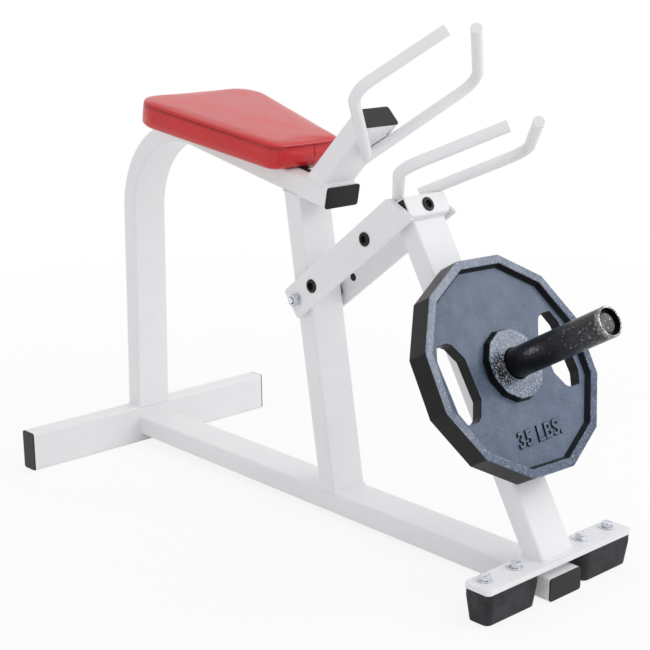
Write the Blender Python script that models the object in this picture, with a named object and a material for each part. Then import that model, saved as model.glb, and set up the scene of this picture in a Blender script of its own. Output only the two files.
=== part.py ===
# Arm wrestling trainer: a seat frame of 3 x 1.5 in tube with a rigid lever hinged on its upright.
# The user sits on the pad and pulls the lever's handles up towards the fixed handles.
# x points forward, y to the far side, z up. Lengths are in metres and angles in degrees.
import math

import bmesh
import bpy
from mathutils import Matrix, Vector

# clearance that touching pieces keep
GAP = 0.0003

# tube stock
TUBE_WIDE = 0.0762
TUBE_NARROW = 0.0381
TUBE_WALL = 0.003
TUBE_CORNER = 0.005
CAP_PLATE = 0.0022
CAP_PLUG = 0.018

# floor frame: the base tube falls from the cross tube to the floor at its front end
CROSS_LENGTH = 0.584
BASE_LENGTH = 1.0743
BASE_FALL = 0.87
BASE_UNDERSIDE = 0.0165

# seat frame tube: a post that leans forward, a bend and a beam that falls to the front
POST_LEAN = 0.92
BEAM_FALL = 10.84
INNER_CORNER = (0.0081, 0.6693)
BEND_RADIUS = 0.155
BEND_STEPS = 14
BEAM_TIP_X = 0.5631

# upright and inclined post
UPRIGHT_FOOT_X = 0.5953
UPRIGHT_LEAN = 9.93
INCLINE = 45.5
INCLINE_TIP = (0.6622, 0.7120)

# handles: round bar, each given as root, elbow and free end
BAR_RADIUS = 0.0095
BAR_SIDES = 16
ELBOW_RADIUS = 0.038
ELBOW_STEPS = 7
# along the inclined post from its tip, out from the middle, below the post's lower face
UPPER_HANDLE = ((-0.0558, 0.0079, 0.0122), (0.1033, 0.1445, 0.0062), (0.2342, 0.0335, 0.0055))
# out from the lever post's front face, out from the middle
LOWER_HANDLE = ((-0.0245, 0.0250), (0.1187, 0.1488), (0.2492, 0.0349))

# lever: two arm plates from the pivot to a block on top of the sloped post
PIVOT = (0.505, 0.3985)
ARM_SLOPE = 38.05
ARM_THICKNESS = 0.0064
ARM_INNER_Y = 0.0466
ARM_BOTTOM = -0.0290
ARM_TOP = 0.0280
ARM_REAR = -0.0200
ARM_FRONT_TOP = 0.3010
ARM_FRONT_TIP = 0.3300
PLUG_STATIONS = (0.050, 0.215)
PLUG_HOLE_RADIUS = 0.0072
PLUG_HEAD_RADIUS = 0.012
LEVER_FOOT_X = 1.1048
LEVER_LEAN = 30.37
BLOCK_BOTTOM = 0.6660
BLOCK_PROUD = 0.0085

# pivot hardware
BOLT_RADIUS = 0.00635
BOLT_HOLE_RADIUS = 0.00665
BUSH_RADIUS = 0.0127
WASHER_RADIUS = 0.013
WASHER_THICKNESS = 0.002
NUT_FLATS = 0.019
NUT_THICKNESS = 0.0095
HEAD_THICKNESS = 0.008
BOLT_TIP = 0.003

# weight horn and plate
HORN_STATION = 0.3926
HORN_RADIUS = 0.0245
HORN_WALL = 0.0037
HORN_LENGTH = 0.262
HORN_RECESS = 0.008
COLLAR_RADIUS = 0.036
PLATE_FACE = 0.0613
PLATE_THICKNESS = 0.0405
PLATE_RADIUS = 0.1838
PLATE_TWIST = 1.9
PLATE_RIM = 0.0135
PLATE_DRAFT = 0.0045
PLATE_RECESS = 0.012
PLATE_BACK_RECESS = 0.0085
HUB_RADIUS = 0.054
HUB_PROUD = 0.002
BORE_RADIUS = 0.0256
HORN_SIDES = 32

# foot plate and rubber feet
FOOT_PLATE_REAR_X = 1.0177
FOOT_PLATE_DEPTH = 0.0510
FOOT_PLATE_WIDTH = 0.354
FOOT_PLATE_TOP = 0.0776
FOOT_PLATE_THICKNESS = 0.0095
FOOT_CORNER = 0.008
RUBBER_INNER_Y = 0.056
RUBBER_OUTER_Y = 0.177
RUBBER_CORNER = 0.012
RUBBER_TAPER = 0.005
FOOT_BOLT_X = 1.038
FOOT_BOLT_Y = (0.081, 0.150)
FOOT_BOLT_RADIUS = 0.005
FOOT_BOLT_DEPTH = 0.022
FOOT_BOLT_FLATS = 0.017
FOOT_BOLT_HEAD = 0.0075
FOOT_WASHER_RADIUS = 0.0125

# seat pad, measured along the beam's top from this x
PAD_DATUM_X = 0.0072
PAD_REAR = 0.139
PAD_FRONT = 0.474
PAD_LIFT = 0.0033
PAD_REAR_HALF = 0.1489
PAD_TAPER = 11.87
PAD_REAR_RADIUS = 0.050
PAD_FRONT_RADIUS = 0.024
PAD_WALL = 0.042
PAD_CROWN = 0.0492
BOARD_THICKNESS = 0.012
BOARD_INSET = 0.006
PAD_BOLT_STATIONS = (0.240, 0.410)
PAD_BOLT_RADIUS = 0.004
PAD_BOLT_GRIP = 0.008
BRACKET_WIDTH = 0.018
BRACKET_STATIONS = ((0.215, 0.265), (0.385, 0.497))
BRACKET_SCREW = 0.486

MACHINE = "machine"
LEVER = "lever_pivot"
WEIGHT = "plate_slide"


def plane_point(x, z, y=0.0):
    return Vector((x, y, z))


def heading(degrees_up):
    # unit vector in the x-z plane, turned up from +x
    angle = math.radians(degrees_up)
    return Vector((math.cos(angle), 0, math.sin(angle)))


SIDE = Vector((0, 1, 0))
BEAM_DIR = heading(-BEAM_FALL)
BEAM_UP = heading(90 - BEAM_FALL)
POST_DIR = heading(90 - POST_LEAN)
UPRIGHT_DIR = heading(90 + UPRIGHT_LEAN)
INCLINE_DIR = heading(INCLINE)
INCLINE_UP = heading(90 + INCLINE)
ARM_DIR = heading(ARM_SLOPE)
ARM_UP = heading(90 + ARM_SLOPE)
LEVER_DIR = heading(90 + LEVER_LEAN)
LEVER_OUT = heading(LEVER_LEAN)


def crossing(point, direction, plane_co, plane_no):
    return point + direction * ((plane_co - point).dot(plane_no) / direction.dot(plane_no))


def lever_point(out, along, y=0.0):
    return plane_point(LEVER_FOOT_X, 0) + LEVER_OUT * out + LEVER_DIR * along + SIDE * y


def arm_point(along, up, y=0.0):
    return plane_point(*PIVOT) + ARM_DIR * along + ARM_UP * up + SIDE * y


def pad_point(along, y, height):
    return BEAM_TOP + BEAM_DIR * along + SIDE * y + BEAM_UP * height


def beam_top_at(x):
    corner = plane_point(*INNER_CORNER) + BEAM_UP * TUBE_NARROW
    return crossing(plane_point(x, 0), Vector((0, 0, 1)), corner, BEAM_UP)


BEAM_TOP = beam_top_at(PAD_DATUM_X)
HORN_ROOT = lever_point(0, HORN_STATION)


def clear_scene():
    for obj in list(bpy.data.objects):
        bpy.data.objects.remove(obj, do_unlink=True)


def finish(name, color, roughness, metallic=0.0):
    mat = bpy.data.materials.new(name)
    mat.use_nodes = True
    shader = mat.node_tree.nodes["Principled BSDF"]
    shader.inputs["Base Color"].default_value = (*color, 1)
    shader.inputs["Roughness"].default_value = roughness
    shader.inputs["Metallic"].default_value = metallic
    return mat


def add_empty(name, parent=None, location=(0, 0, 0), turn=0.0):
    empty = bpy.data.objects.new(name, None)
    bpy.context.collection.objects.link(empty)
    empty.parent = parent
    empty.location = location
    empty.rotation_euler = (0, math.radians(turn), 0)
    return empty


def add_piece(name, bm, mat, carrier=MACHINE, smooth=30.0):
    # the mesh is drawn in machine coordinates and then moved to its carrier's origin
    bmesh.ops.recalc_face_normals(bm, faces=bm.faces)
    mesh = bpy.data.meshes.new(name)
    bm.to_mesh(mesh)
    bm.free()
    mesh.transform(Matrix.Translation(-CARRIER_ORIGINS[carrier]))
    if mat is not None:
        mesh.materials.append(mat)
    mesh.shade_smooth()
    mesh.set_sharp_from_angle(angle=math.radians(smooth))
    obj = bpy.data.objects.new(name, mesh)
    bpy.context.collection.objects.link(obj)
    obj.parent = carriers[carrier]
    return obj


CARRIER_ORIGINS = {
    MACHINE: Vector((0, 0, 0)),
    LEVER: plane_point(*PIVOT),
    WEIGHT: HORN_ROOT,
}


def rounded_rect(width, depth, radius, steps=3):
    corners = ((1, 1, 0), (-1, 1, 90), (-1, -1, 180), (1, -1, 270))
    points = []
    for sx, sy, start in corners:
        centre_x = sx * (width / 2 - radius)
        centre_y = sy * (depth / 2 - radius)
        for i in range(steps + 1):
            angle = math.radians(start + 90 * i / steps)
            points.append((centre_x + radius * math.cos(angle), centre_y + radius * math.sin(angle)))
    return points


def circle(radius, sides, phase=0.0):
    angles = [math.radians(phase) + math.tau * i / sides for i in range(sides)]
    return [(radius * math.cos(a), radius * math.sin(a)) for a in angles]


def round_corners(points, radii, steps=4):
    # replaces each corner of a polygon by an arc
    rounded = []
    count = len(points)
    for i, radius in enumerate(radii):
        corner = Vector(points[i])
        back = (Vector(points[i - 1]) - corner).normalized()
        ahead = (Vector(points[(i + 1) % count]) - corner).normalized()
        half = back.angle(ahead) / 2
        reach = radius / math.tan(half)
        centre = corner + (back + ahead).normalized() * (radius / math.sin(half))
        first = corner + back * reach - centre
        last = corner + ahead * reach - centre
        turn = first.angle_signed(last)
        for k in range(steps + 1):
            arm = first.copy()
            arm.rotate(Matrix.Rotation(-turn * k / steps, 2))
            rounded.append(tuple(centre + arm))
    return rounded


def ring(outline, origin, across, up):
    return [origin + across * a + up * b for a, b in outline]


def slice_ring(points, direction, plane_co, plane_no):
    # slides a ring along the tube until it lies in the cutting plane
    return [crossing(p, direction, plane_co, plane_no) for p in points]


def loft(bm, rings, hole_rings=None):
    # a closed solid through the rings, or an open tube when hole rings are given
    outer = [[bm.verts.new(p) for p in points] for points in rings]
    inner = [[bm.verts.new(p) for p in points] for points in hole_rings or []]
    for skin in (outer, inner):
        for low, high in zip(skin, skin[1:]):
            count = len(low)
            for i in range(count):
                j = (i + 1) % count
                bm.faces.new((low[i], low[j], high[j], high[i]))
    if not inner:
        bm.faces.new(outer[0])
        bm.faces.new(outer[-1])
        return
    for end in (0, -1):
        count = len(outer[end])
        for i in range(count):
            j = (i + 1) % count
            bm.faces.new((outer[end][i], outer[end][j], inner[end][j], inner[end][i]))


def tube_section(wide=TUBE_WIDE, narrow=TUBE_NARROW):
    outside = rounded_rect(wide, narrow, TUBE_CORNER)
    inside = rounded_rect(wide - 2 * TUBE_WALL, narrow - 2 * TUBE_WALL, TUBE_CORNER - TUBE_WALL)
    return outside, inside


def straight_tube(start, end, across, up, start_cut=None, end_cut=None):
    # each cut is a point and a normal; without one the end is square
    direction = (end - start).normalized()
    skins = []
    for outline in tube_section():
        first = ring(outline, start, across, up)
        last = ring(outline, end, across, up)
        if start_cut:
            first = slice_ring(first, direction, *start_cut)
        if end_cut:
            last = slice_ring(last, direction, *end_cut)
        skins.append([first, last])
    bm = bmesh.new()
    loft(bm, skins[0], skins[1])
    return bm


def tube_cap(tube_end, outward, across, up):
    # a moulded cap: a plate on the tube's end and a plug inside it
    plug = rounded_rect(TUBE_WIDE - 2 * TUBE_WALL - 2 * GAP, TUBE_NARROW - 2 * TUBE_WALL - 2 * GAP, 0.0018)
    plate = rounded_rect(TUBE_WIDE, TUBE_NARROW, TUBE_CORNER)
    face = rounded_rect(TUBE_WIDE - 0.0014, TUBE_NARROW - 0.0014, TUBE_CORNER - 0.0007)
    seat = tube_end + outward * GAP
    rings = [
        ring(plug, tube_end - outward * CAP_PLUG, across, up),
        ring(plug, seat, across, up),
        ring(plate, seat, across, up),
        ring(plate, seat + outward * (CAP_PLATE - 0.0007), across, up),
        ring(face, seat + outward * CAP_PLATE, across, up),
    ]
    bm = bmesh.new()
    loft(bm, rings)
    return bm


def disc_stack(bm, origin, axis, stations, sides):
    # a turned solid: stations are distance along the axis and radius
    across, up = turned_axes(axis)
    loft(bm, [ring(circle(r, sides), origin + axis * s, across, up) for s, r in stations])


def turned_axes(axis):
    # two directions square to the axis, the first one level where it can be
    across = SIDE if abs(axis.dot(SIDE)) < 0.9 else Vector((1, 0, 0))
    up = axis.cross(across).normalized()
    return across, up


def washer(bm, origin, axis, thickness, radius, hole_radius, sides=24):
    across, up = turned_axes(axis)
    ends = (origin, origin + axis * thickness)
    outer = [ring(circle(radius, sides), p, across, up) for p in ends]
    inner = [ring(circle(hole_radius, sides), p, across, up) for p in ends]
    loft(bm, outer, inner)


def hex_radius(flats):
    return flats / 2 / math.cos(math.radians(30))


def drill(target, name, origin, axis, length, radius, sides=24, carrier=MACHINE):
    # a round hole cut from the target by a hidden cylinder
    bm = bmesh.new()
    disc_stack(bm, origin, axis, ((0, radius), (length, radius)), sides)
    cut(target, name, bm, carrier)


def cut(target, name, bm, carrier=MACHINE):
    cutter = add_piece(name, bm, None, carrier)
    cutter.hide_render = True
    cutter.display_type = "WIRE"
    boolean = target.modifiers.new(name, "BOOLEAN")
    boolean.operation = "DIFFERENCE"
    boolean.solver = "EXACT"
    boolean.object = cutter


def bent_bar(root, elbow, tip):
    # a round bar with one bend, flat at the root and eased at the free end
    first = (elbow - root).normalized()
    second = (tip - elbow).normalized()
    turn = first.angle(second)
    normal = first.cross(second).normalized()
    reach = ELBOW_RADIUS * math.tan(turn / 2)
    centre = elbow - first * reach + normal.cross(first) * ELBOW_RADIUS
    path = [(root, first, 1.0)]
    for i in range(ELBOW_STEPS + 1):
        spin = Matrix.Rotation(turn * i / ELBOW_STEPS, 3, normal)
        arm = spin @ (-normal.cross(first) * ELBOW_RADIUS)
        path.append((centre + arm, spin @ first, 1.0))
    path.append((tip - second * 0.002, second, 1.0))
    path.append((tip, second, 0.8))
    rings = []
    for point, direction, scale in path:
        across = normal.cross(direction)
        rings.append(ring(circle(BAR_RADIUS * scale, BAR_SIDES), point, across, normal))
    bm = bmesh.new()
    loft(bm, rings)
    return bm


def build_floor_frame():
    outside, inside = tube_section(TUBE_NARROW, TUBE_WIDE)
    middle = plane_point(-TUBE_NARROW / 2, TUBE_WIDE / 2)
    ahead = Vector((1, 0, 0))
    up = Vector((0, 0, 1))
    half = CROSS_LENGTH / 2 - CAP_PLATE - GAP
    ends = (middle - SIDE * half, middle + SIDE * half)
    # the cross tube lies flat on the floor, so it is turned back out of the machine's own tilt
    bm = bmesh.new()
    loft(bm, [ring(outside, p, ahead, up) for p in ends], [ring(inside, p, ahead, up) for p in ends])
    cross = add_piece("rear_cross_tube", bm, white)
    cross.parent = level
    for name, end, outward in (("near", ends[0], -SIDE), ("far", ends[1], SIDE)):
        cap = add_piece("cross_tube_cap_" + name, tube_cap(end, outward, up, ahead), black)
        cap.parent = level

    axis_z = BASE_UNDERSIDE + TUBE_NARROW / 2
    rear = plane_point(0.001, axis_z)
    front = plane_point(BASE_LENGTH - CAP_PLATE - GAP, axis_z)
    level_x = Vector((math.cos(math.radians(BASE_FALL)), 0, math.sin(math.radians(BASE_FALL))))
    rear_cut = (plane_point(GAP, 0), level_x)
    add_piece("base_tube", straight_tube(rear, front, SIDE, up, start_cut=rear_cut), white)
    add_piece("base_tube_cap", tube_cap(front, ahead, SIDE, up), black)


def seat_tube_rings(outline):
    corner = plane_point(*INNER_CORNER)
    inward = POST_DIR.cross(SIDE).normalized() * -1
    turn = POST_DIR.angle(BEAM_DIR)
    reach = BEND_RADIUS * math.tan(turn / 2)
    centre = corner - POST_DIR * reach + inward * BEND_RADIUS
    middle_radius = BEND_RADIUS + TUBE_NARROW / 2
    start = centre - inward * middle_radius
    rings = [slice_ring(ring(outline, start, SIDE, inward), POST_DIR, plane_point(0, TUBE_WIDE + GAP), FLOOR_UP)]
    for i in range(BEND_STEPS + 1):
        spin = Matrix.Rotation(turn * i / BEND_STEPS, 3, SIDE)
        point = centre - spin @ inward * middle_radius
        rings.append(ring(outline, point, SIDE, spin @ inward))
    tip = crossing(plane_point(BEAM_TIP_X, 0), Vector((0, 0, 1)), corner, BEAM_UP)
    tube_end = tip - BEAM_DIR * (CAP_PLATE + GAP) + BEAM_UP * TUBE_NARROW / 2
    rings.append(ring(outline, tube_end, SIDE, BEAM_UP * -1))
    return rings, tube_end


def build_seat_frame():
    outside, inside = tube_section()
    skin, tube_end = seat_tube_rings(outside)
    bore, tube_end = seat_tube_rings(inside)
    bm = bmesh.new()
    loft(bm, skin, bore)
    frame_tube = add_piece("seat_frame_tube", bm, white)
    add_piece("seat_beam_cap", tube_cap(tube_end, BEAM_DIR, SIDE, BEAM_UP), black)
    for i, station in enumerate(PAD_BOLT_STATIONS):
        under = pad_point(station, 0, -TUBE_NARROW - 0.005)
        drill(frame_tube, f"beam_hole_{i}", under, BEAM_UP, TUBE_NARROW + 0.01, PAD_BOLT_RADIUS + GAP, 12)
    screw = pad_point(BRACKET_SCREW, 0, -0.005)
    drill(frame_tube, "beam_screw_hole", screw, BEAM_UP, 0.01, 0.0025 + GAP, 12)


def build_upright():
    base_top = plane_point(0, BASE_UNDERSIDE + TUBE_NARROW + GAP)
    beam_under = plane_point(*INNER_CORNER) - BEAM_UP * GAP
    ahead = UPRIGHT_DIR.cross(SIDE).normalized() * -1
    foot = plane_point(UPRIGHT_FOOT_X, 0) - ahead * TUBE_NARROW / 2
    head = foot + UPRIGHT_DIR * 0.6
    up = Vector((0, 0, 1))
    bm = straight_tube(foot, head, SIDE, ahead, (base_top, up), (beam_under, BEAM_UP))
    upright = add_piece("upright", bm, white)
    start = plane_point(*PIVOT) - SIDE * TUBE_WIDE
    drill(upright, "upright_pivot_hole", start, SIDE, 2 * TUBE_WIDE, BOLT_HOLE_RADIUS)


def build_inclined_post():
    tip = plane_point(*INCLINE_TIP) + INCLINE_UP * TUBE_NARROW / 2
    tube_end = tip - INCLINE_DIR * (CAP_PLATE + GAP)
    foot = tube_end - INCLINE_DIR * 0.2
    foot_cut = (BEAM_TOP + BEAM_UP * GAP, BEAM_UP)
    bm = straight_tube(foot, tube_end, SIDE, INCLINE_UP, start_cut=foot_cut)
    add_piece("inclined_post", bm, white)
    add_piece("inclined_post_cap", tube_cap(tube_end, INCLINE_DIR, SIDE, INCLINE_UP), black)


def build_upper_handles():
    for name, sign in (("near", -1), ("far", 1)):
        points = []
        for along, out, below in UPPER_HANDLE:
            points.append(plane_point(*INCLINE_TIP) + INCLINE_DIR * along - INCLINE_UP * below + SIDE * sign * out)
        add_piece("upper_handle_" + name, bent_bar(*points), white)


def pad_outline(inset=0.0, steps=5):
    # corners of the tapered pad, then arcs at the corners and points along the straight sides
    run = PAD_FRONT - PAD_REAR
    front_half = PAD_REAR_HALF - run * math.tan(math.radians(PAD_TAPER))
    slant = inset / math.cos(math.radians(PAD_TAPER))
    lean = inset * math.tan(math.radians(PAD_TAPER))
    rear_half = PAD_REAR_HALF - slant - lean
    tip_half = front_half - slant + lean
    rear = PAD_REAR + inset
    front = PAD_FRONT - inset
    corners = [(rear, -rear_half), (front, -tip_half), (front, tip_half), (rear, rear_half)]
    radii = [PAD_REAR_RADIUS - inset, PAD_FRONT_RADIUS - inset, PAD_FRONT_RADIUS - inset, PAD_REAR_RADIUS - inset]
    arcs = round_corners(corners, radii, steps)
    points = []
    size = steps + 1
    for k in range(4):
        arc = arcs[k * size:(k + 1) * size]
        after = arcs[((k + 1) * size) % len(arcs)]
        points += arc
        last = Vector(arc[-1])
        gap = Vector(after) - last
        for t in (1 / 3, 2 / 3):
            points.append(tuple(last + gap * t))
    return points


def pad_ring(inset, height):
    return [pad_point(s, y, height) for s, y in pad_outline(inset)]


def build_pad():
    bottom = PAD_LIFT
    recess = PAD_LIFT + BOARD_THICKNESS
    # inset from the outline and height: hollow for the board, then wall, seam and crown
    profile = (
        (BOARD_INSET - GAP, recess + GAP),
        (BOARD_INSET - GAP, bottom),
        (0.0045, bottom),
        (0.0015, bottom + 0.004),
        (-0.0015, bottom + PAD_WALL * 0.5),
        (0.0000, bottom + PAD_WALL - 0.003),
        (0.0018, bottom + PAD_WALL),
        (0.0024, bottom + PAD_WALL + 0.0015),
        (0.0050, bottom + PAD_WALL + 0.0030),
        (0.0110, bottom + PAD_WALL + 0.0044),
        (0.0210, bottom + PAD_WALL + 0.0050),
    )
    bm = bmesh.new()
    rings = [pad_ring(inset, height) for inset, height in profile]
    middle = pad_outline(0.0)
    centre_s = sum(s for s, y in middle) / len(middle)
    crown = []
    for s, y in pad_outline(0.021):
        crown.append(pad_point(centre_s + (s - centre_s) * 0.55, y * 0.55, bottom + PAD_CROWN))
    rings.append(crown)
    loft(bm, rings)
    add_piece("seat_pad", bm, red)

    board = bmesh.new()
    loft(board, [pad_ring(BOARD_INSET, bottom), pad_ring(BOARD_INSET, recess)])
    board_obj = add_piece("pad_board", board, wood)
    for i, station in enumerate(PAD_BOLT_STATIONS):
        drill(board_obj, f"board_hole_{i}", pad_point(station, 0, bottom - 0.005), BEAM_UP,
              0.005 + PAD_BOLT_GRIP + GAP, PAD_BOLT_RADIUS + GAP, 12)


def build_pad_fixings():
    low = GAP
    high = PAD_LIFT - GAP
    half = BRACKET_WIDTH / 2
    for name, (rear, front) in zip(("rear", "front"), BRACKET_STATIONS):
        corners = [(rear, -half), (front, -half), (front, half), (rear, half)]
        outline = round_corners(corners, [0.003, 0.006, 0.006, 0.003], 3)
        bm = bmesh.new()
        loft(bm, [[pad_point(s, y, h) for s, y in outline] for h in (low, high)])
        bracket = add_piece("pad_bracket_" + name, bm, black_steel)
        for i, station in enumerate(PAD_BOLT_STATIONS):
            if rear < station < front:
                drill(bracket, f"bracket_hole_{i}", pad_point(station, 0, -0.005), BEAM_UP, 0.015,
                      PAD_BOLT_RADIUS + GAP, 12)
        if rear < BRACKET_SCREW < front:
            drill(bracket, "bracket_screw_hole", pad_point(BRACKET_SCREW, 0, -0.005), BEAM_UP, 0.015,
                  0.0025 + GAP, 12)
    for name, station in zip(("rear", "front"), PAD_BOLT_STATIONS):
        under = pad_point(station, 0, -TUBE_NARROW - GAP)
        reach = TUBE_NARROW + GAP + PAD_LIFT + PAD_BOLT_GRIP
        across, up = turned_axes(BEAM_UP)
        head = hex_radius(0.013)
        rings = [ring(hex_outline(head), under - BEAM_UP * 0.0053, across, up)]
        rings.append(ring(hex_outline(head), under, across, up))
        rings.append(ring(circle(PAD_BOLT_RADIUS, 12), under, across, up))
        rings.append(ring(circle(PAD_BOLT_RADIUS, 12), under + BEAM_UP * reach, across, up))
        bolt = bmesh.new()
        loft(bolt, rings)
        add_piece("pad_bolt_" + name, bolt, zinc)
    screw = bmesh.new()
    seat = high + GAP
    stations = ((-0.004, 0.0025), (seat, 0.0025), (seat, 0.005), (seat + 0.002, 0.0045), (seat + 0.003, 0.003))
    disc_stack(screw, pad_point(BRACKET_SCREW, 0, 0), BEAM_UP, stations, 12)
    add_piece("pad_bracket_screw", screw, zinc)


def hex_outline(radius, sides=12):
    # a hexagon with a point in the middle of each side, so that it joins a 12-sided shank
    points = []
    for i in range(sides):
        angle = math.tau * i / sides
        reach = radius if i % 2 == 0 else radius * math.cos(math.radians(30))
        points.append((reach * math.cos(angle), reach * math.sin(angle)))
    return points


def build_pivot_hardware():
    centre = plane_point(*PIVOT)
    outer = ARM_INNER_Y + ARM_THICKNESS
    for name, sign in (("near", -1), ("far", 1)):
        axis = SIDE * sign
        bush = bmesh.new()
        start = centre + axis * (TUBE_WIDE / 2 + GAP)
        washer(bush, start, axis, ARM_INNER_Y - TUBE_WIDE / 2 - 2 * GAP, BUSH_RADIUS, BOLT_HOLE_RADIUS)
        add_piece("pivot_bush_" + name, bush, steel)
        ring_bm = bmesh.new()
        washer(ring_bm, centre + axis * (outer + GAP), axis, WASHER_THICKNESS, WASHER_RADIUS, BOLT_HOLE_RADIUS)
        add_piece("pivot_washer_" + name, ring_bm, zinc)
    seat = outer + 2 * GAP + WASHER_THICKNESS
    across, up = turned_axes(SIDE)
    flats = hex_radius(NUT_FLATS)
    nut = bmesh.new()
    nut_ends = (centre - SIDE * seat, centre - SIDE * (seat + NUT_THICKNESS))
    loft(nut, [ring(hex_outline(flats, 24), p, across, up) for p in nut_ends],
         [ring(circle(BOLT_HOLE_RADIUS, 24), p, across, up) for p in nut_ends])
    add_piece("pivot_nut", nut, zinc)
    bolt = bmesh.new()
    tip = -(seat + NUT_THICKNESS + BOLT_TIP)
    rings = [
        ring(circle(BOLT_RADIUS - 0.001, 24), centre + SIDE * tip, across, up),
        ring(circle(BOLT_RADIUS, 24), centre + SIDE * (tip + 0.001), across, up),
        ring(circle(BOLT_RADIUS, 24), centre + SIDE * seat, across, up),
        ring(hex_outline(flats, 24), centre + SIDE * seat, across, up),
        ring(hex_outline(flats, 24), centre + SIDE * (seat + HEAD_THICKNESS), across, up),
    ]
    loft(bolt, rings)
    add_piece("pivot_bolt", bolt, zinc)


def build_arm_plates():
    corners = [(ARM_REAR, ARM_BOTTOM), (ARM_FRONT_TIP, ARM_BOTTOM), (ARM_FRONT_TOP, ARM_TOP), (ARM_REAR, ARM_TOP)]
    outline = round_corners(corners, [0.005, 0.003, 0.005, 0.005], 3)
    for name, sign in (("near", -1), ("far", 1)):
        bm = bmesh.new()
        depths = (ARM_INNER_Y * sign, (ARM_INNER_Y + ARM_THICKNESS) * sign)
        loft(bm, [[arm_point(a, b, y) for a, b in outline] for y in depths])
        plate = add_piece("arm_plate_" + name, bm, white, LEVER)
        start = SIDE * sign * (ARM_INNER_Y - 0.005)
        length = ARM_THICKNESS + 0.01
        drill(plate, f"{name}_pivot_cut", arm_point(0, 0) + start, SIDE * sign, length, BOLT_HOLE_RADIUS,
              24, LEVER)
        for i, station in enumerate(PLUG_STATIONS):
            drill(plate, f"{name}_plug_cut_{i}", arm_point(station, 0) + start, SIDE * sign, length,
                  PLUG_HOLE_RADIUS, 16, LEVER)
            add_hole_plug(f"arm_plug_{name}_{('rear', 'front')[i]}", arm_point(station, 0),
                          SIDE * sign, ARM_INNER_Y, ARM_THICKNESS)


def add_hole_plug(name, centre, axis, inner, thickness):
    # a push-in plug: a shallow domed head outside the sheet and a neck through it
    bm = bmesh.new()
    face = inner + thickness + GAP
    neck = PLUG_HOLE_RADIUS - GAP
    stations = (
        (inner - 0.002, neck - 0.001),
        (inner - 0.001, neck),
        (face, neck),
        (face, PLUG_HEAD_RADIUS),
        (face + 0.0012, PLUG_HEAD_RADIUS - 0.0006),
        (face + 0.0022, PLUG_HEAD_RADIUS - 0.003),
        (face + 0.0022, 0.0075),
        (face + 0.0010, 0.0065),
    )
    disc_stack(bm, centre, axis, stations, 16)
    add_piece(name, bm, black, LEVER)


def build_lever_post():
    top = BLOCK_BOTTOM - GAP
    plate_top = (plane_point(0, FOOT_PLATE_TOP + GAP), Vector((0, 0, 1)))
    bm = straight_tube(lever_point(-TUBE_NARROW / 2, 0.05), lever_point(-TUBE_NARROW / 2, top), SIDE, LEVER_OUT,
                       start_cut=plate_top)
    add_piece("lever_post", bm, white, LEVER)


def build_top_block():
    outside, inside = tube_section(TUBE_WIDE, TUBE_NARROW)
    centre = lever_point(BLOCK_PROUD - TUBE_WIDE / 2, BLOCK_BOTTOM + TUBE_NARROW / 2)
    half = ARM_INNER_Y - GAP
    ends = [centre - SIDE * half, centre + SIDE * half]
    bm = bmesh.new()
    loft(bm, [ring(outside, p, LEVER_OUT, LEVER_DIR) for p in ends],
         [ring(inside, p, LEVER_OUT, LEVER_DIR) for p in ends])
    block = add_piece("top_block", bm, white, LEVER)
    front = lever_point(BLOCK_PROUD + 0.005, BLOCK_BOTTOM + TUBE_NARROW / 2)
    drill(block, "block_plug_cut", front, -LEVER_OUT, 0.02, PLUG_HOLE_RADIUS, 16, LEVER)
    add_hole_plug("block_front_plug", lever_point(BLOCK_PROUD - TUBE_WALL, BLOCK_BOTTOM + TUBE_NARROW / 2),
                  LEVER_OUT, 0, TUBE_WALL)
    plug = rounded_rect(TUBE_WIDE - 2 * TUBE_WALL - 2 * GAP, TUBE_NARROW - 2 * TUBE_WALL - 2 * GAP, 0.0018)
    for name, end, outward in (("near", ends[0], -SIDE), ("far", ends[1], SIDE)):
        bm = bmesh.new()
        depths = (end - outward * 0.012, end - outward * 0.001)
        loft(bm, [ring(plug, p, LEVER_OUT, LEVER_DIR) for p in depths])
        add_piece("block_cap_" + name, bm, black, LEVER)


def build_lower_handles():
    along = BLOCK_BOTTOM + TUBE_NARROW + BAR_RADIUS + GAP
    for name, sign in (("near", -1), ("far", 1)):
        points = [lever_point(out, along, sign * y) for out, y in LOWER_HANDLE]
        add_piece("lower_handle_" + name, bent_bar(*points), white, LEVER)


def build_horn():
    across, up = turned_axes(LEVER_OUT)
    ends = (HORN_ROOT + LEVER_OUT * GAP, HORN_ROOT + LEVER_OUT * HORN_LENGTH)
    bm = bmesh.new()
    loft(bm, [ring(circle(HORN_RADIUS, HORN_SIDES), p, across, up) for p in ends],
         [ring(circle(HORN_RADIUS - HORN_WALL, HORN_SIDES), p, across, up) for p in ends])
    add_piece("weight_horn", bm, black_steel, LEVER)
    collar = bmesh.new()
    length = PLATE_FACE - PLATE_THICKNESS - 3 * GAP
    washer(collar, HORN_ROOT + LEVER_OUT * GAP, LEVER_OUT, length, COLLAR_RADIUS, HORN_RADIUS + GAP, HORN_SIDES)
    add_piece("horn_stop_collar", collar, black_steel, LEVER)
    disc = bmesh.new()
    radius = HORN_RADIUS - HORN_WALL - GAP
    depth = HORN_LENGTH - HORN_RECESS
    disc_stack(disc, HORN_ROOT, LEVER_OUT, ((depth - 0.004, radius), (depth, radius)), HORN_SIDES)
    add_piece("horn_end_disc", disc, black_steel, LEVER)


def gon(radius):
    return circle(radius, 12, 15 + PLATE_TWIST)


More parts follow.
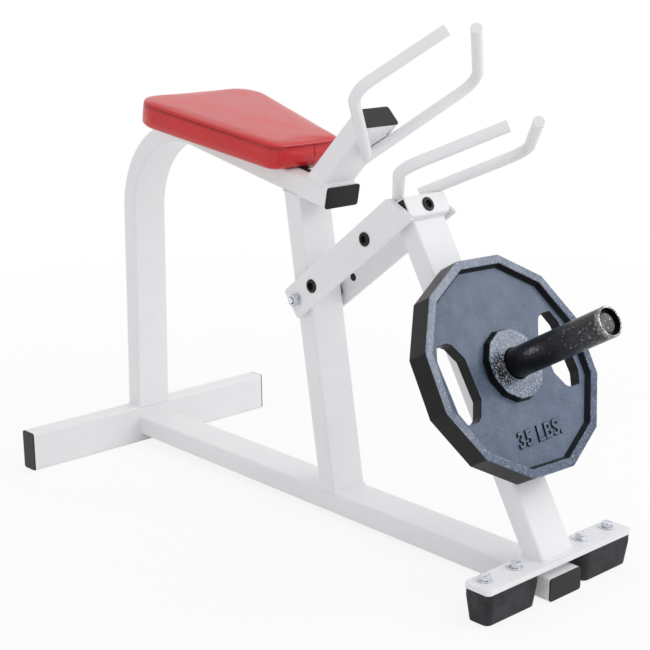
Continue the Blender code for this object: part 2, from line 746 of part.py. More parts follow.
def build_weight_plate():
    # rings run from the back of the bore round the outside to the front of the bore
    back = PLATE_FACE - PLATE_THICKNESS
    web = PLATE_FACE - PLATE_RECESS
    back_web = back + PLATE_BACK_RECESS
    corner = 1 / math.cos(math.radians(15))
    rim_inner = PLATE_RADIUS - PLATE_RIM * corner
    web_outer = rim_inner - PLATE_DRAFT * corner
    round_bore = circle(BORE_RADIUS, 12, 15 + PLATE_TWIST)
    stations = (
        (back, round_bore),
        (back, gon(HUB_RADIUS)),
        (back_web, gon(HUB_RADIUS + 0.004)),
        (back_web, gon(web_outer)),
        (back, gon(rim_inner)),
        (back, gon(PLATE_RADIUS - 0.004)),
        (back + 0.003, gon(PLATE_RADIUS)),
        (PLATE_FACE - 0.0015, gon(PLATE_RADIUS)),
        (PLATE_FACE, gon(PLATE_RADIUS - 0.0015)),
        (PLATE_FACE, gon(rim_inner)),
        (web, gon(web_outer)),
        (web, gon(HUB_RADIUS + 0.005)),
        (PLATE_FACE + HUB_PROUD, gon(HUB_RADIUS)),
        (PLATE_FACE + HUB_PROUD, round_bore),
    )
    bm = bmesh.new()
    rows = [[bm.verts.new(p) for p in ring(o, HORN_ROOT + LEVER_OUT * s, SIDE, LEVER_DIR)] for s, o in stations]
    for low, high in zip(rows, rows[1:] + rows[:1]):
        for i in range(12):
            j = (i + 1) % 12
            bm.faces.new((low[i], low[j], high[j], high[i]))
    plate = add_piece("weight_plate", bm, iron, WEIGHT, 20.0)
    # the polygon bore is opened out to the round bore
    drill(plate, "bore_cut", HORN_ROOT, LEVER_OUT, PLATE_FACE * 2, BORE_RADIUS, HORN_SIDES, WEIGHT)
    for name, sign in (("near", -1), ("far", 1)):
        half = [(0.090, 0.033), (0.105, 0.058), (0.113, 0.063), (0.136, 0.063), (0.146, 0.042)]
        outline = [(sign * a, b) for a, b in half]
        outline += [(sign * a, -b) for a, b in reversed(half)]
        twist = Matrix.Rotation(math.radians(PLATE_TWIST), 2)
        outline = [tuple(twist @ Vector(p)) for p in outline]
        slot = bmesh.new()
        ends = (HORN_ROOT, HORN_ROOT + LEVER_OUT * PLATE_FACE * 2)
        loft(slot, [ring(outline, p, SIDE, LEVER_DIR) for p in ends])
        cut(plate, "grip_slot_cut_" + name, slot, WEIGHT)


def build_foot():
    front_x = FOOT_PLATE_REAR_X + FOOT_PLATE_DEPTH
    half = FOOT_PLATE_WIDTH / 2
    corners = [(FOOT_PLATE_REAR_X, -half), (front_x, -half), (front_x, half), (FOOT_PLATE_REAR_X, half)]
    outline = round_corners(corners, [FOOT_CORNER] * 4, 3)
    low = FOOT_PLATE_TOP - FOOT_PLATE_THICKNESS
    bm = bmesh.new()
    loft(bm, [[plane_point(x, z, y) for x, y in outline] for z in (low, FOOT_PLATE_TOP)])
    plate = add_piece("foot_plate", bm, white, LEVER)
    up = Vector((0, 0, 1))
    fall = math.tan(math.radians(BASE_FALL))
    for name, sign in (("near", -1), ("far", 1)):
        middle_y = sign * (RUBBER_INNER_Y + RUBBER_OUTER_Y) / 2
        middle_x = FOOT_PLATE_REAR_X + FOOT_PLATE_DEPTH / 2
        width = RUBBER_OUTER_Y - RUBBER_INNER_Y
        top = rounded_rect(FOOT_PLATE_DEPTH, width, RUBBER_CORNER, 5)
        sole = rounded_rect(FOOT_PLATE_DEPTH - 2 * RUBBER_TAPER, width - 2 * RUBBER_TAPER, RUBBER_CORNER, 5)
        rings = []
        for outline, height in ((top, low - GAP), (top, low - 0.012), (sole, None)):
            points = []
            for dx, dy in outline:
                x = middle_x + dx
                z = height if height is not None else x * fall
                points.append(plane_point(x, z, middle_y + dy))
            rings.append(points)
        rubber = bmesh.new()
        loft(rubber, rings)
        foot = add_piece("rubber_foot_" + name, rubber, rubber_black, LEVER)
        for i, y in enumerate(FOOT_BOLT_Y):
            seat = plane_point(FOOT_BOLT_X, FOOT_PLATE_TOP, sign * y)
            drill(plate, f"foot_plate_hole_{name}_{i}", seat - up * 0.015, up, 0.02, FOOT_BOLT_RADIUS + GAP, 12, LEVER)
            depth = FOOT_PLATE_THICKNESS + FOOT_BOLT_DEPTH
            drill(foot, f"rubber_hole_{name}_{i}", seat - up * (depth + GAP), up, depth + 0.01,
                  FOOT_BOLT_RADIUS + GAP, 12, LEVER)
            place = f"{name}_{('inner', 'outer')[i]}"
            flat = bmesh.new()
            washer(flat, seat + up * GAP, up, 0.0016, FOOT_WASHER_RADIUS, FOOT_BOLT_RADIUS + GAP, 16)
            add_piece("foot_washer_" + place, flat, zinc, LEVER)
            across, side = turned_axes(up)
            head = hex_radius(FOOT_BOLT_FLATS)
            rest = seat + up * (0.0016 + 2 * GAP)
            rings = [
                ring(circle(FOOT_BOLT_RADIUS, 12), seat - up * depth, across, side),
                ring(circle(FOOT_BOLT_RADIUS, 12), rest, across, side),
                ring(hex_outline(head), rest, across, side),
                ring(hex_outline(head), rest + up * FOOT_BOLT_HEAD * 0.8, across, side),
                ring(circle(FOOT_BOLT_FLATS * 0.46, 12), rest + up * FOOT_BOLT_HEAD, across, side),
            ]
            bolt = bmesh.new()
            loft(bolt, rings)
            add_piece("foot_bolt_" + place, bolt, zinc, LEVER)


def span_centre():
    # middle of the length, from the cross tube's rear face to the horn's front lower rim
    rim = HORN_ROOT + LEVER_OUT * HORN_LENGTH - LEVER_DIR * HORN_RADIUS
    fall = math.radians(BASE_FALL)
    front = rim.x * math.cos(fall) + rim.z * math.sin(fall)
    return (front - TUBE_NARROW) / 2


clear_scene()
white = finish("white_powder_coat", (0.80, 0.80, 0.81), 0.35)
black = finish("black_plastic", (0.02, 0.02, 0.02), 0.3)
black_steel = finish("black_painted_steel", (0.03, 0.03, 0.03), 0.45, 0.4)
red = finish("red_vinyl", (0.55, 0.05, 0.06), 0.4)
wood = finish("plywood", (0.55, 0.40, 0.25), 0.7)
zinc = finish("zinc_steel", (0.60, 0.60, 0.62), 0.35, 1.0)
steel = finish("turned_steel", (0.45, 0.45, 0.47), 0.4, 1.0)
iron = finish("painted_iron", (0.20, 0.23, 0.28), 0.5, 0.3)
rubber_black = finish("black_rubber", (0.04, 0.04, 0.045), 0.7)

FLOOR_UP = heading(90 + BASE_FALL)
level = add_empty("floor_level", None, (-span_centre(), 0, 0))
carriers = {MACHINE: add_empty(MACHINE, None, (-span_centre(), 0, 0), BASE_FALL)}
carriers[LEVER] = add_empty(LEVER, carriers[MACHINE], CARRIER_ORIGINS[LEVER])
carriers[WEIGHT] = add_empty(WEIGHT, carriers[LEVER], CARRIER_ORIGINS[WEIGHT] - CARRIER_ORIGINS[LEVER])

build_floor_frame()
build_seat_frame()
build_upright()
build_inclined_post()
build_upper_handles()
build_pad()
build_pad_fixings()
build_pivot_hardware()
build_arm_plates()
build_lever_post()
build_top_block()
build_lower_handles()
build_horn()
build_weight_plate()
build_foot()
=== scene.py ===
# Arm wrestling trainer with a seat pad, fixed handles and a weighted lever.
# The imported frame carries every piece; this script gives it its looks.
import math

import bmesh
import bpy
from mathutils import Matrix, Vector


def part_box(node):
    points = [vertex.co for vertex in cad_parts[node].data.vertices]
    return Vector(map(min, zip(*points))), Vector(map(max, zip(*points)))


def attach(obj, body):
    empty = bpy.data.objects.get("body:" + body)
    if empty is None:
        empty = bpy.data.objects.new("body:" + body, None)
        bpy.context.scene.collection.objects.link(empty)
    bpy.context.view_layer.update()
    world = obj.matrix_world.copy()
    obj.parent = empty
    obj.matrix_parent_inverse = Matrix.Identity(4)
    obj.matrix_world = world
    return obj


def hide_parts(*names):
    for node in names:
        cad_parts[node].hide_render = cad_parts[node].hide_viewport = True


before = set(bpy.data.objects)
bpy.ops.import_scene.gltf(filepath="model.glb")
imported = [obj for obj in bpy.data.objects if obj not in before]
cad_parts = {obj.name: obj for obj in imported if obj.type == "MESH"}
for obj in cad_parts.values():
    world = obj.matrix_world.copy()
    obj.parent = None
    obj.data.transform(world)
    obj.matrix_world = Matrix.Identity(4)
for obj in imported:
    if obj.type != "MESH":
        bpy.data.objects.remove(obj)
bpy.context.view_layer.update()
print("frame loaded:", len(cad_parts), "nodes")

xAxis, yAxis, zAxis = Vector((1, 0, 0)), Vector((0, 1, 0)), Vector((0, 0, 1))
bothSides = (("Near", -1), ("Far", 1))


def moved(x=0.0, y=0.0, z=0.0):
    return Matrix.Translation((x, y, z))


def turned(degrees, axis):
    return Matrix.Rotation(math.radians(degrees), 4, axis)


def heading(degrees):
    # a direction in the side view, turned up from straight ahead
    return Vector((math.cos(math.radians(degrees)), 0, math.sin(math.radians(degrees))))


def spot(x, z, y=0.0):
    return Vector((x, y, z))


def crossing(point, direction, planePoint, planeNormal):
    return point + direction * ((planePoint - point).dot(planeNormal) / direction.dot(planeNormal))


def standing(origin, along, up):
    # a frame with its x along a piece and its z up from it
    along = along.normalized()
    up = (up - along * up.dot(along)).normalized()
    side = up.cross(along)
    return Matrix.Translation(origin) @ Matrix((along, side, up)).transposed().to_4x4()


# the machine stands tilted on its cross tube, so pieces are made upright and tilted at the end
tilt = {"fall": 0.87, "start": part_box("rear_cross_tube")[1].x}
levelPlace = moved(tilt["start"])
machinePlace = levelPlace @ turned(tilt["fall"], "Y")
floorUp = heading(90 + tilt["fall"])

stock = {"wide": 0.0762, "narrow": 0.0381, "corner": 0.005, "wall": 0.003, "cap": 0.0022, "gap": 0.0003}
half = stock["narrow"] / 2
capRoom = stock["cap"] + stock["gap"]

# where the tubes meet, in the side view of the upright machine
base = {"sole": 0.0165, "start": 0.0004, "end": 1.0743, "across": 0.584}
beam = {"along": heading(-10.84), "up": heading(79.16), "corner": spot(0.0081, 0.6693), "end": 0.5631}
beam["top"] = crossing(spot(0.0072, 0), zAxis, beam["corner"] + beam["up"] * stock["narrow"], beam["up"])
post = {"lean": heading(90 - 0.92), "ahead": heading(-0.92), "bend": 0.155}
post["turn"] = post["lean"].angle(beam["along"])
post["bendStart"] = beam["corner"] - post["lean"] * post["bend"] * math.tan(post["turn"] / 2)
post["middle"] = post["bendStart"] - post["ahead"] * half
upright = {"lean": heading(90 + 9.93), "ahead": heading(9.93)}
upright["foot"] = spot(0.5953, 0) - upright["ahead"] * half
incline = {"tip": spot(0.6622, 0.7120), "along": heading(45.5), "up": heading(135.5)}
arm = {"pivot": spot(0.505, 0.3985), "along": heading(38.05), "up": heading(128.05)}
lever = {"foot": spot(1.1048, 0), "along": heading(120.37), "out": heading(30.37)}


def leverSpot(out, along, y=0.0):
    return lever["foot"] + lever["out"] * out + lever["along"] * along + yAxis * y


def armSpot(along, up, y=0.0):
    return arm["pivot"] + arm["along"] * along + arm["up"] * up + yAxis * y


def inclineSpot(along, up, y=0.0):
    return incline["tip"] + incline["along"] * along + incline["up"] * up + yAxis * y


scene = bpy.context.scene
scene.view_settings.view_transform = "Standard"

# angles in degrees, distances in metres, focal length and offset in pixels
shot = {"azimuth": 47.29, "elevation": 14.99, "roll": -0.04, "distance": 2.6109, "look": (0.4959, 0.0243, 0.3363),
        "focal": 1451.2, "offset": -0.4, "pixels": 650, "sensor": 36}


def give(thing, **settings):
    for key, value in settings.items():
        setattr(thing, key, value)


def makeCamera():
    a, e, t = (math.radians(shot[k]) for k in ("azimuth", "elevation", "roll"))
    back = Vector((math.sin(a) * math.cos(e), -math.cos(a) * math.cos(e), math.sin(e)))
    right = zAxis.cross(back).normalized()
    rolled = right * math.cos(t) + back.cross(right) * math.sin(t)
    axes = Matrix((rolled, back.cross(rolled), back)).transposed().to_4x4()
    data = bpy.data.cameras.new("camera")
    give(data, sensor_width=shot["sensor"], lens=shot["sensor"] * shot["focal"] / shot["pixels"],
         shift_x=shot["offset"] / shot["pixels"])
    camera = bpy.data.objects.new("camera", data)
    camera.matrix_world = machinePlace @ Matrix.Translation(Vector(shot["look"]) + back * shot["distance"]) @ axes
    scene.collection.objects.link(camera)
    scene.camera = camera


def srgb(code):
    # a hex colour as it looks on screen, turned to the linear values that shaders use
    values = [int(code[i:i + 2], 16) / 255 for i in (1, 3, 5)]
    return (*[v / 12.92 if v <= 0.04045 else ((v + 0.055) / 1.055) ** 2.4 for v in values], 1.0)


lamps = {
    # a broad high key over the weight's side, and a window that shines along the plate
    "key": {"kind": "SUN", "power": 0.60, "colour": "#FFFDF8", "from": (0.60, 0.34, 0.72), "angle": 75},
    "window": {"kind": "AREA", "power": 3.3, "colour": "#F4F8FF", "from": (0.55, 0.72, 0.43), "size": 0.5,
               "away": 1.6, "facing": (0.35, -0.09, 0.43)},
}


def makeLamps():
    for name, lamp in lamps.items():
        data = bpy.data.lights.new(name, lamp["kind"])
        data.energy = lamp["power"]
        data.color = srgb(lamp["colour"])[:3]
        if lamp["kind"] == "SUN":
            data.angle = math.radians(lamp["angle"])
        else:
            data.shape = "DISK"
            data.size = lamp["size"]
        ahead = Vector(lamp["from"]).normalized()
        light = bpy.data.objects.new(name, data)
        light.location = Vector(lamp.get("facing", (0, 0, 0))) + ahead * lamp.get("away", 3)
        light.rotation_euler = ahead.to_track_quat("Z", "Y").to_euler()
        scene.collection.objects.link(light)


def feed(tree, node, **links):
    # each link names an input socket by its plain name or number; a node stands for its first output
    for key, source in links.items():
        name = int(key[2:]) if key[:2] == "in" and key[2:].isdigit() else key.replace("_", " ")
        tree.links.new(source.outputs[0] if isinstance(source, bpy.types.Node) else source, node.inputs[name])
    return node


def addNode(tree, kind, settings=None, **links):
    # one node with its settings and links; stops are the places and colours along a ramp
    node = tree.nodes.new("ShaderNode" + kind)
    for key, value in (settings or {}).items():
        if key == "stops":
            ramp = node.color_ramp
            for element, (position, code) in zip(ramp.elements, (value[0], value[-1])):
                element.position = position
                element.color = srgb(code)
            for position, code in value[1:-1]:
                ramp.elements.new(position).color = srgb(code)
        elif isinstance(key, int) or key in node.inputs:
            node.inputs[key].default_value = value
        else:
            setattr(node, key, value)
    return feed(tree, node, **links)


room = {"light": 0.82, "colour": "#F6F6FA", "seen": 1.0}


def raysThatSee(tree):
    # 1 for the rays that show the white surroundings, straight, in a gloss or through glass
    path = addNode(tree, "LightPath").outputs
    shown = addNode(tree, "Math", {"operation": "MAXIMUM"}, in0=path["Is Camera Ray"], in1=path["Is Glossy Ray"])
    return addNode(tree, "Math", {"operation": "MAXIMUM"}, in0=shown, in1=path["Is Transmission Ray"])


def makeWorld():
    world = bpy.data.worlds.new("studio")
    scene.world = world
    world.use_nodes = True
    tree = world.node_tree
    tree.nodes.clear()
    light = addNode(tree, "Background", {"Color": srgb(room["colour"]), "Strength": room["light"]})
    seen = addNode(tree, "Background", {"Color": srgb("#FFFFFF"), "Strength": room["seen"]})
    mixed = addNode(tree, "MixShader", Fac=raysThatSee(tree), in1=light, in2=seen)
    addNode(tree, "OutputWorld", Surface=mixed)


ground = {"size": 14.0, "below": 0.0004, "shadow": 0.16, "near": 0.9, "far": 2.6}


def makeFloor():
    bpy.ops.mesh.primitive_plane_add(size=ground["size"], location=(0, 0, -ground["below"]))
    floor = bpy.context.object
    floor.name = "floor"
    mat = bpy.data.materials.new("paleFloor")
    mat.use_nodes = True
    tree = mat.node_tree
    tree.nodes.clear()
    # white where it is looked at, with a share of the object's real shadow kept round its feet
    place = addNode(tree, "TexCoord").outputs["Object"]
    away = addNode(tree, "VectorMath", {"operation": "LENGTH"}, in0=place).outputs["Value"]
    white = addNode(tree, "MapRange", {1: ground["near"], 2: ground["far"], 3: 1 - ground["shadow"], 4: 1.0}, in0=away)
    share = addNode(tree, "Math", {"operation": "MULTIPLY"}, in0=raysThatSee(tree), in1=white)
    paint = addNode(tree, "BsdfDiffuse", {"Color": srgb("#F6F6F6")})
    glow = addNode(tree, "Emission", {"Color": srgb("#FFFFFF"), "Strength": 1.0})
    mixed = addNode(tree, "MixShader", Fac=share, in1=paint, in2=glow)
    addNode(tree, "OutputMaterial", Surface=mixed)
    floor.data.materials.append(mat)


makeCamera()
makeLamps()
makeWorld()
makeFloor()
print("camera, light and floor made")


def powderCoat(tree, shader, place):
    # polyester powder coat, sprayed and baked on welded steel: a soft orange peel under an even gloss
    cloud = addNode(tree, "TexNoise", {"Scale": 9.0, "Detail": 4.0, "Roughness": 0.6}, Vector=place)
    tone = addNode(tree, "ValToRGB", {"stops": ((0.30, "#ECECED"), (0.62, "#F0F0F0"))}, Fac=cloud)
    # grey rubs of one to two centimetres where parts are handled
    rub = addNode(tree, "TexNoise", {"Scale": 55.0, "Detail": 6.0, "Roughness": 0.7}, Vector=place)
    spots = addNode(tree, "MapRange", {1: 0.68, 2: 0.80, 3: 0.0, 4: 0.35}, in0=rub)
    colour = addNode(tree, "Mix", {"data_type": "RGBA", 7: srgb("#D9D9DB")}, in0=spots, in6=tone)
    gloss = addNode(tree, "MapRange", {1: 0.3, 2: 0.7, 3: 0.30, 4: 0.42}, in0=cloud)
    # orange peel about 2.5 mm across and 0.08 mm high
    peel = addNode(tree, "TexNoise", {"Scale": 400.0, "Detail": 2.0}, Vector=place)
    bump = addNode(tree, "Bump", {"Strength": 0.35, "Distance": 0.00008}, Height=peel)
    feed(tree, shader, Base_Color=colour.outputs[2], Roughness=gloss, Normal=bump)


def mouldedPlastic(tree, shader, place):
    # injection moulded polyethylene: near black, fine spark-eroded grain and dulled handling marks
    cloud = addNode(tree, "TexNoise", {"Scale": 60.0, "Detail": 5.0, "Roughness": 0.65}, Vector=place)
    tone = addNode(tree, "ValToRGB", {"stops": ((0.35, "#0B0B0D"), (0.75, "#17181B"))}, Fac=cloud)
    gloss = addNode(tree, "MapRange", {1: 0.3, 2: 0.75, 3: 0.26, 4: 0.40}, in0=cloud)
    grain = addNode(tree, "TexNoise", {"Scale": 1400.0, "Detail": 2.0}, Vector=place)
    bump = addNode(tree, "Bump", {"Strength": 0.25, "Distance": 0.0001}, Height=grain)
    feed(tree, shader, Base_Color=tone, Roughness=gloss, Normal=bump)


def chippedEnamel(tree, shader, place):
    # black enamel on steel tube: dark and glossy, rubbed grey and chipped to bare metal where plates go on
    wear = addNode(tree, "Attribute", {"attribute_name": "wear"}).outputs["Fac"]
    cloud = addNode(tree, "TexNoise", {"Scale": 45.0, "Detail": 6.0, "Roughness": 0.7}, Vector=place)
    rubbed = addNode(tree, "Math", {"operation": "MULTIPLY"}, in0=cloud, in1=wear)
    tone = addNode(tree, "ValToRGB", {"stops": ((0.12, "#0C0C0D"), (0.56, "#2E2F32"), (0.80, "#707174"))}, Fac=rubbed)
    # chips of one to four millimetres, and finer flecks, more of them at the worn end
    chips = addNode(tree, "TexNoise", {"Scale": 210.0, "Detail": 8.0, "Roughness": 0.72}, Vector=place)
    lift = addNode(tree, "Math", {"operation": "MULTIPLY_ADD", 1: 0.10}, in0=wear, in2=chips)
    bare = addNode(tree, "MapRange", {1: 0.680, 2: 0.700}, in0=lift)
    colour = addNode(tree, "Mix", {"data_type": "RGBA", 7: srgb("#A9A7A2")}, in0=bare, in6=tone)
    metal = addNode(tree, "Math", {"operation": "MULTIPLY", 1: 0.8}, in0=bare)
    gloss = addNode(tree, "MapRange", {1: 0.3, 2: 0.75, 3: 0.24, 4: 0.42}, in0=cloud)
    sunk = addNode(tree, "Math", {"operation": "MULTIPLY", 1: -1.0}, in0=bare)
    bump = addNode(tree, "Bump", {"Strength": 0.5, "Distance": 0.0002}, Height=sunk)
    feed(tree, shader, Base_Color=colour.outputs[2], Metallic=metal, Roughness=gloss, Normal=bump)


def vinyl(tree, shader, place):
    # expanded vinyl upholstery with a fine leather grain: deep red, a broad pale sheen where it is seen at a slant
    wear = addNode(tree, "Attribute", {"attribute_name": "wear"}).outputs["Fac"]
    cloud = addNode(tree, "TexNoise", {"Scale": 14.0, "Detail": 5.0, "Roughness": 0.6}, Vector=place)
    tone = addNode(tree, "ValToRGB", {"stops": ((0.3, "#C4141A"), (0.7, "#D01C1F"))}, Fac=cloud)
    # the fold of each seam holds dirt and shade
    colour = addNode(tree, "Mix", {"data_type": "RGBA", 7: srgb("#3E080D")}, in0=wear, in6=tone)
    gloss = addNode(tree, "MapRange", {1: 0.3, 2: 0.7, 3: 0.28, 4: 0.38}, in0=cloud)
    # pebbles of the leather grain, about 1.6 mm across
    grain = addNode(tree, "TexVoronoi", {"Scale": 620.0, "feature": "SMOOTH_F1"}, Vector=place)
    bump = addNode(tree, "Bump", {"Strength": 0.3, "Distance": 0.00015}, Height=grain)
    feed(tree, shader, Base_Color=colour.outputs[2], Roughness=gloss, Normal=bump)


# where the painted shadow of the horn and its oily dirt lie on the hub
shadowAndOilSpot = machinePlace @ leverSpot(0.063, 0.3906, -0.034)


def castIron(tree, shader, place):
    # enamelled iron casting: near black in its walls, blue-grey and sandy on the web, rubbed pale on rim and hub; the
    # flats are lighter than the walls partly by real wear and partly as painted sheen
    wear = addNode(tree, "Attribute", {"attribute_name": "wear"}).outputs["Fac"]
    cloud = addNode(tree, "TexNoise", {"Scale": 26.0, "Detail": 6.0, "Roughness": 0.65}, Vector=place)
    fine = addNode(tree, "TexNoise", {"Scale": 420.0, "Detail": 5.0, "Roughness": 0.75}, Vector=place)
    drift = addNode(tree, "Math", {"operation": "MULTIPLY_ADD", 1: 0.60, 2: -0.30}, in0=cloud)
    speck = addNode(tree, "Math", {"operation": "MULTIPLY_ADD", 1: 0.90, 2: -0.45}, in0=fine)
    sandy = addNode(tree, "Math", {"operation": "MULTIPLY_ADD"}, in0=speck, in1=wear, in2=wear)
    cloudy = addNode(tree, "Math", {"operation": "MULTIPLY_ADD"}, in0=drift, in1=wear, in2=sandy)
    # painted light and shade, set by height and side: the rim and hub are painted darker towards the bottom and the far
    # side, and the web and walls a little lighter there
    upAndNear = addNode(tree, "VectorMath", {"operation": "DOT_PRODUCT", 1: (0, -0.6, 0.8)}, in0=place).outputs["Value"]
    paintedLightAndShade = addNode(tree, "MapRange", {1: 0.11, 2: 0.44, 3: -0.36, 4: 0.0}, in0=upAndNear)
    flats = addNode(tree, "MapRange", {1: 0.60, 2: 0.86, 3: -0.25, 4: 1.0}, in0=wear)
    # rubbed holds the random rubbing together with this painted light and shade
    rubbed = addNode(tree, "Math", {"operation": "MULTIPLY_ADD"}, in0=paintedLightAndShade, in1=flats, in2=cloudy)
    # a painted shadow of the horn, with oily dirt, darkens the hub beside the bore on its near side
    beside = addNode(tree, "VectorMath", {"operation": "DISTANCE", 1: shadowAndOilSpot}, in0=place).outputs["Value"]
    shadowAndOil = addNode(tree, "MapRange", {1: 0.012, 2: 0.034, 3: -0.75, 4: 0.0}, in0=beside)
    mark = addNode(tree, "Math", {"operation": "ADD"}, in0=shadowAndOil, in1=rubbed)
    tone = addNode(tree, "ValToRGB", {"stops": ((0.0, "#050506"), (0.15, "#08090A"), (0.36, "#263241"),
                                                (0.50, "#414F62"), (0.68, "#626F84"), (1.0, "#999FAA"))}, Fac=mark)
    # flecks of bare metal, a millimetre or two, where other plates knock against the flats
    knocks = addNode(tree, "TexNoise", {"Scale": 300.0, "Detail": 6.0, "Roughness": 0.8}, Vector=place)
    worn = addNode(tree, "Math", {"operation": "MULTIPLY_ADD", 1: 0.30}, in0=wear, in2=knocks)
    bare = addNode(tree, "MapRange", {1: 0.825, 2: 0.885, 3: 0.0, 4: 0.75}, in0=worn)
    colour = addNode(tree, "Mix", {"data_type": "RGBA", 7: srgb("#D5D9E0")}, in0=bare, in6=tone)
    gloss = addNode(tree, "MapRange", {1: 0.3, 2: 0.7, 3: 0.27, 4: 0.39}, in0=fine)
    # sand grain of the mould, about 1.4 mm across
    sand = addNode(tree, "TexNoise", {"Scale": 700.0, "Detail": 3.0}, Vector=place)
    bump = addNode(tree, "Bump", {"Strength": 0.35, "Distance": 0.0002}, Height=sand)
    feed(tree, shader, Base_Color=colour.outputs[2], Roughness=gloss, Normal=bump)


def rubber(tree, shader, place):
    # moulded natural rubber: charcoal with a bloom of floor dust
    cloud = addNode(tree, "TexNoise", {"Scale": 28.0, "Detail": 7.0, "Roughness": 0.7}, Vector=place)
    tone = addNode(tree, "ValToRGB", {"stops": ((0.35, "#0D0E10"), (0.75, "#3A3C40"))}, Fac=cloud)
    grain = addNode(tree, "TexNoise", {"Scale": 900.0, "Detail": 3.0}, Vector=place)
    bump = addNode(tree, "Bump", {"Strength": 0.35, "Distance": 0.0002}, Height=grain)
    feed(tree, shader, Base_Color=tone, Normal=bump)


def zinc(tree, shader, place):
    # bright zinc plate on steel fasteners: a cool silver with faint spangle
    cloud = addNode(tree, "TexNoise", {"Scale": 180.0, "Detail": 5.0, "Roughness": 0.65}, Vector=place)
    tone = addNode(tree, "ValToRGB", {"stops": ((0.36, "#A2A8B0"), (0.52, "#E4E7EC"))}, Fac=cloud)
    gloss = addNode(tree, "MapRange", {1: 0.3, 2: 0.7, 3: 0.25, 4: 0.4}, in0=cloud)
    feed(tree, shader, Base_Color=tone, Roughness=gloss)


def turnedSteel(tree, shader, place):
    # lathe turned mild steel bushes, oiled: rings of fine tool marks
    rings = addNode(tree, "TexWave", {"Scale": 900.0, "Distortion": 0.3, "bands_direction": "Y"}, Vector=place)
    tone = addNode(tree, "ValToRGB", {"stops": ((0.0, "#6E6F73"), (1.0, "#8C8E92"))}, Fac=rings)
    feed(tree, shader, Base_Color=tone)


def plywood(tree, shader, place):
    # birch plywood edge and face, unfinished: thin plies and a long faint grain
    grain = addNode(tree, "TexNoise", {"Scale": 30.0, "Detail": 6.0, "Distortion": 1.2}, Vector=place)
    tone = addNode(tree, "ValToRGB", {"stops": ((0.0, "#A9845A"), (1.0, "#CDAE80"))}, Fac=grain)
    feed(tree, shader, Base_Color=tone)


def thread(tree, shader, place):
    # bonded polyester thread, dark red, with the twist of its plies
    twist = addNode(tree, "TexWave", {"Scale": 500.0, "Distortion": 1.0, "bands_direction": "DIAGONAL"}, Vector=place)
    tone = addNode(tree, "ValToRGB", {"stops": ((0.0, "#4A0C12"), (1.0, "#7A1A22"))}, Fac=twist)
    feed(tree, shader, Base_Color=tone)


# for each slot: the material's name, what draws it, and the numbers that are even all over it
materials = {
    "thread": ("bondedThread", thread, {"Roughness": 0.6}),
    "white_powder_coat": ("whitePowderCoat", powderCoat, {}),
    "black_plastic": ("blackMouldedPlastic", mouldedPlastic, {"Specular IOR Level": 0.30}),
    "black_steel": ("blackEnamelledSteel", chippedEnamel, {"Specular IOR Level": 0.29}),
    "red_vinyl": ("redVinyl", vinyl, {"Specular IOR Level": 0.42, "Coat Weight": 0.32, "Coat Roughness": 0.22}),
    "painted_iron": ("enamelledCastIron", castIron, {"Specular IOR Level": 0.22}),
    "black_rubber": ("mouldedRubber", rubber, {"Roughness": 0.62, "Specular IOR Level": 0.35}),
    "zinc_steel": ("zincPlate", zinc, {"Metallic": 1.0}),
    "turned_steel": ("turnedSteel", turnedSteel, {"Metallic": 1.0, "Roughness": 0.35}),
    "plywood": ("birchPlywood", plywood, {"Roughness": 0.7}),
}


def makeMaterial(name, draw, numbers):
    mat = bpy.data.materials.new(name)
    mat.use_nodes = True
    tree = mat.node_tree
    shader = tree.nodes["Principled BSDF"]
    for key, value in numbers.items():
        shader.inputs[key].default_value = value
    draw(tree, shader, addNode(tree, "TexCoord").outputs["Object"])
    return mat


finishes = {slotName: makeMaterial(*material) for slotName, material in materials.items()}

# the nodes that stay as they are get the better finish of their own slot
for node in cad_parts.values():
    for materialSlot in node.material_slots:
        materialSlot.material = finishes[materialSlot.material.name.split(".")[0]]
print("materials made")


def mode(kind):
    bpy.ops.object.mode_set(mode=kind)


def letGo():
    if bpy.context.object and bpy.context.object.mode == "EDIT":
        mode("OBJECT")
    bpy.ops.object.select_all(action="DESELECT")


def settle(place):
    # carries the object to its place and leaves it there as plain mesh
    if place is not None:
        mode("OBJECT")
        bpy.context.object.matrix_world = place
        bpy.ops.object.transform_apply(location=True, rotation=True, scale=True)


def startBox(size, place=None):
    # a box standing in its own frame, ready to be shaped in edit mode
    letGo()
    bpy.ops.mesh.primitive_cube_add(size=1, scale=size)
    bpy.ops.object.transform_apply(location=True, rotation=True, scale=True)
    settle(place)
    mode("EDIT")
    return bpy.context.object


def startRound(radius, start, end, sides=48, place=None):
    # a round bar from start to end along its own x, ready to be shaped in edit mode
    letGo()
    bpy.ops.mesh.primitive_cylinder_add(vertices=sides, radius=radius, depth=end - start)
    settle(moved((start + end) / 2) @ turned(90, "Y"))
    settle(place)
    mode("EDIT")
    return bpy.context.object


def startSheet(size, centre=(0, 0, 0)):
    # a flat sheet that faces up, ready to be shaped in edit mode
    letGo()
    bpy.ops.mesh.primitive_plane_add(size=1, location=centre)
    bpy.context.object.scale = (*size, 1)
    bpy.ops.object.transform_apply(location=True, rotation=True, scale=True)
    mode("EDIT")
    everything()
    return bpy.context.object


def everything():
    bpy.ops.mesh.select_all(action="SELECT")


def pick(kind, test):
    # in edit mode: selects the vertices, edges or faces that pass the test
    bpy.ops.mesh.select_mode(type=kind)
    bpy.ops.mesh.select_all(action="DESELECT")
    mesh = bmesh.from_edit_mesh(bpy.context.object.data)
    for part in {"VERT": mesh.verts, "EDGE": mesh.edges, "FACE": mesh.faces}[kind]:
        if test(part):
            part.select_set(True)
    bmesh.update_edit_mesh(bpy.context.object.data)


def middle(part):
    return sum((v.co for v in part.verts), Vector()) / len(part.verts)


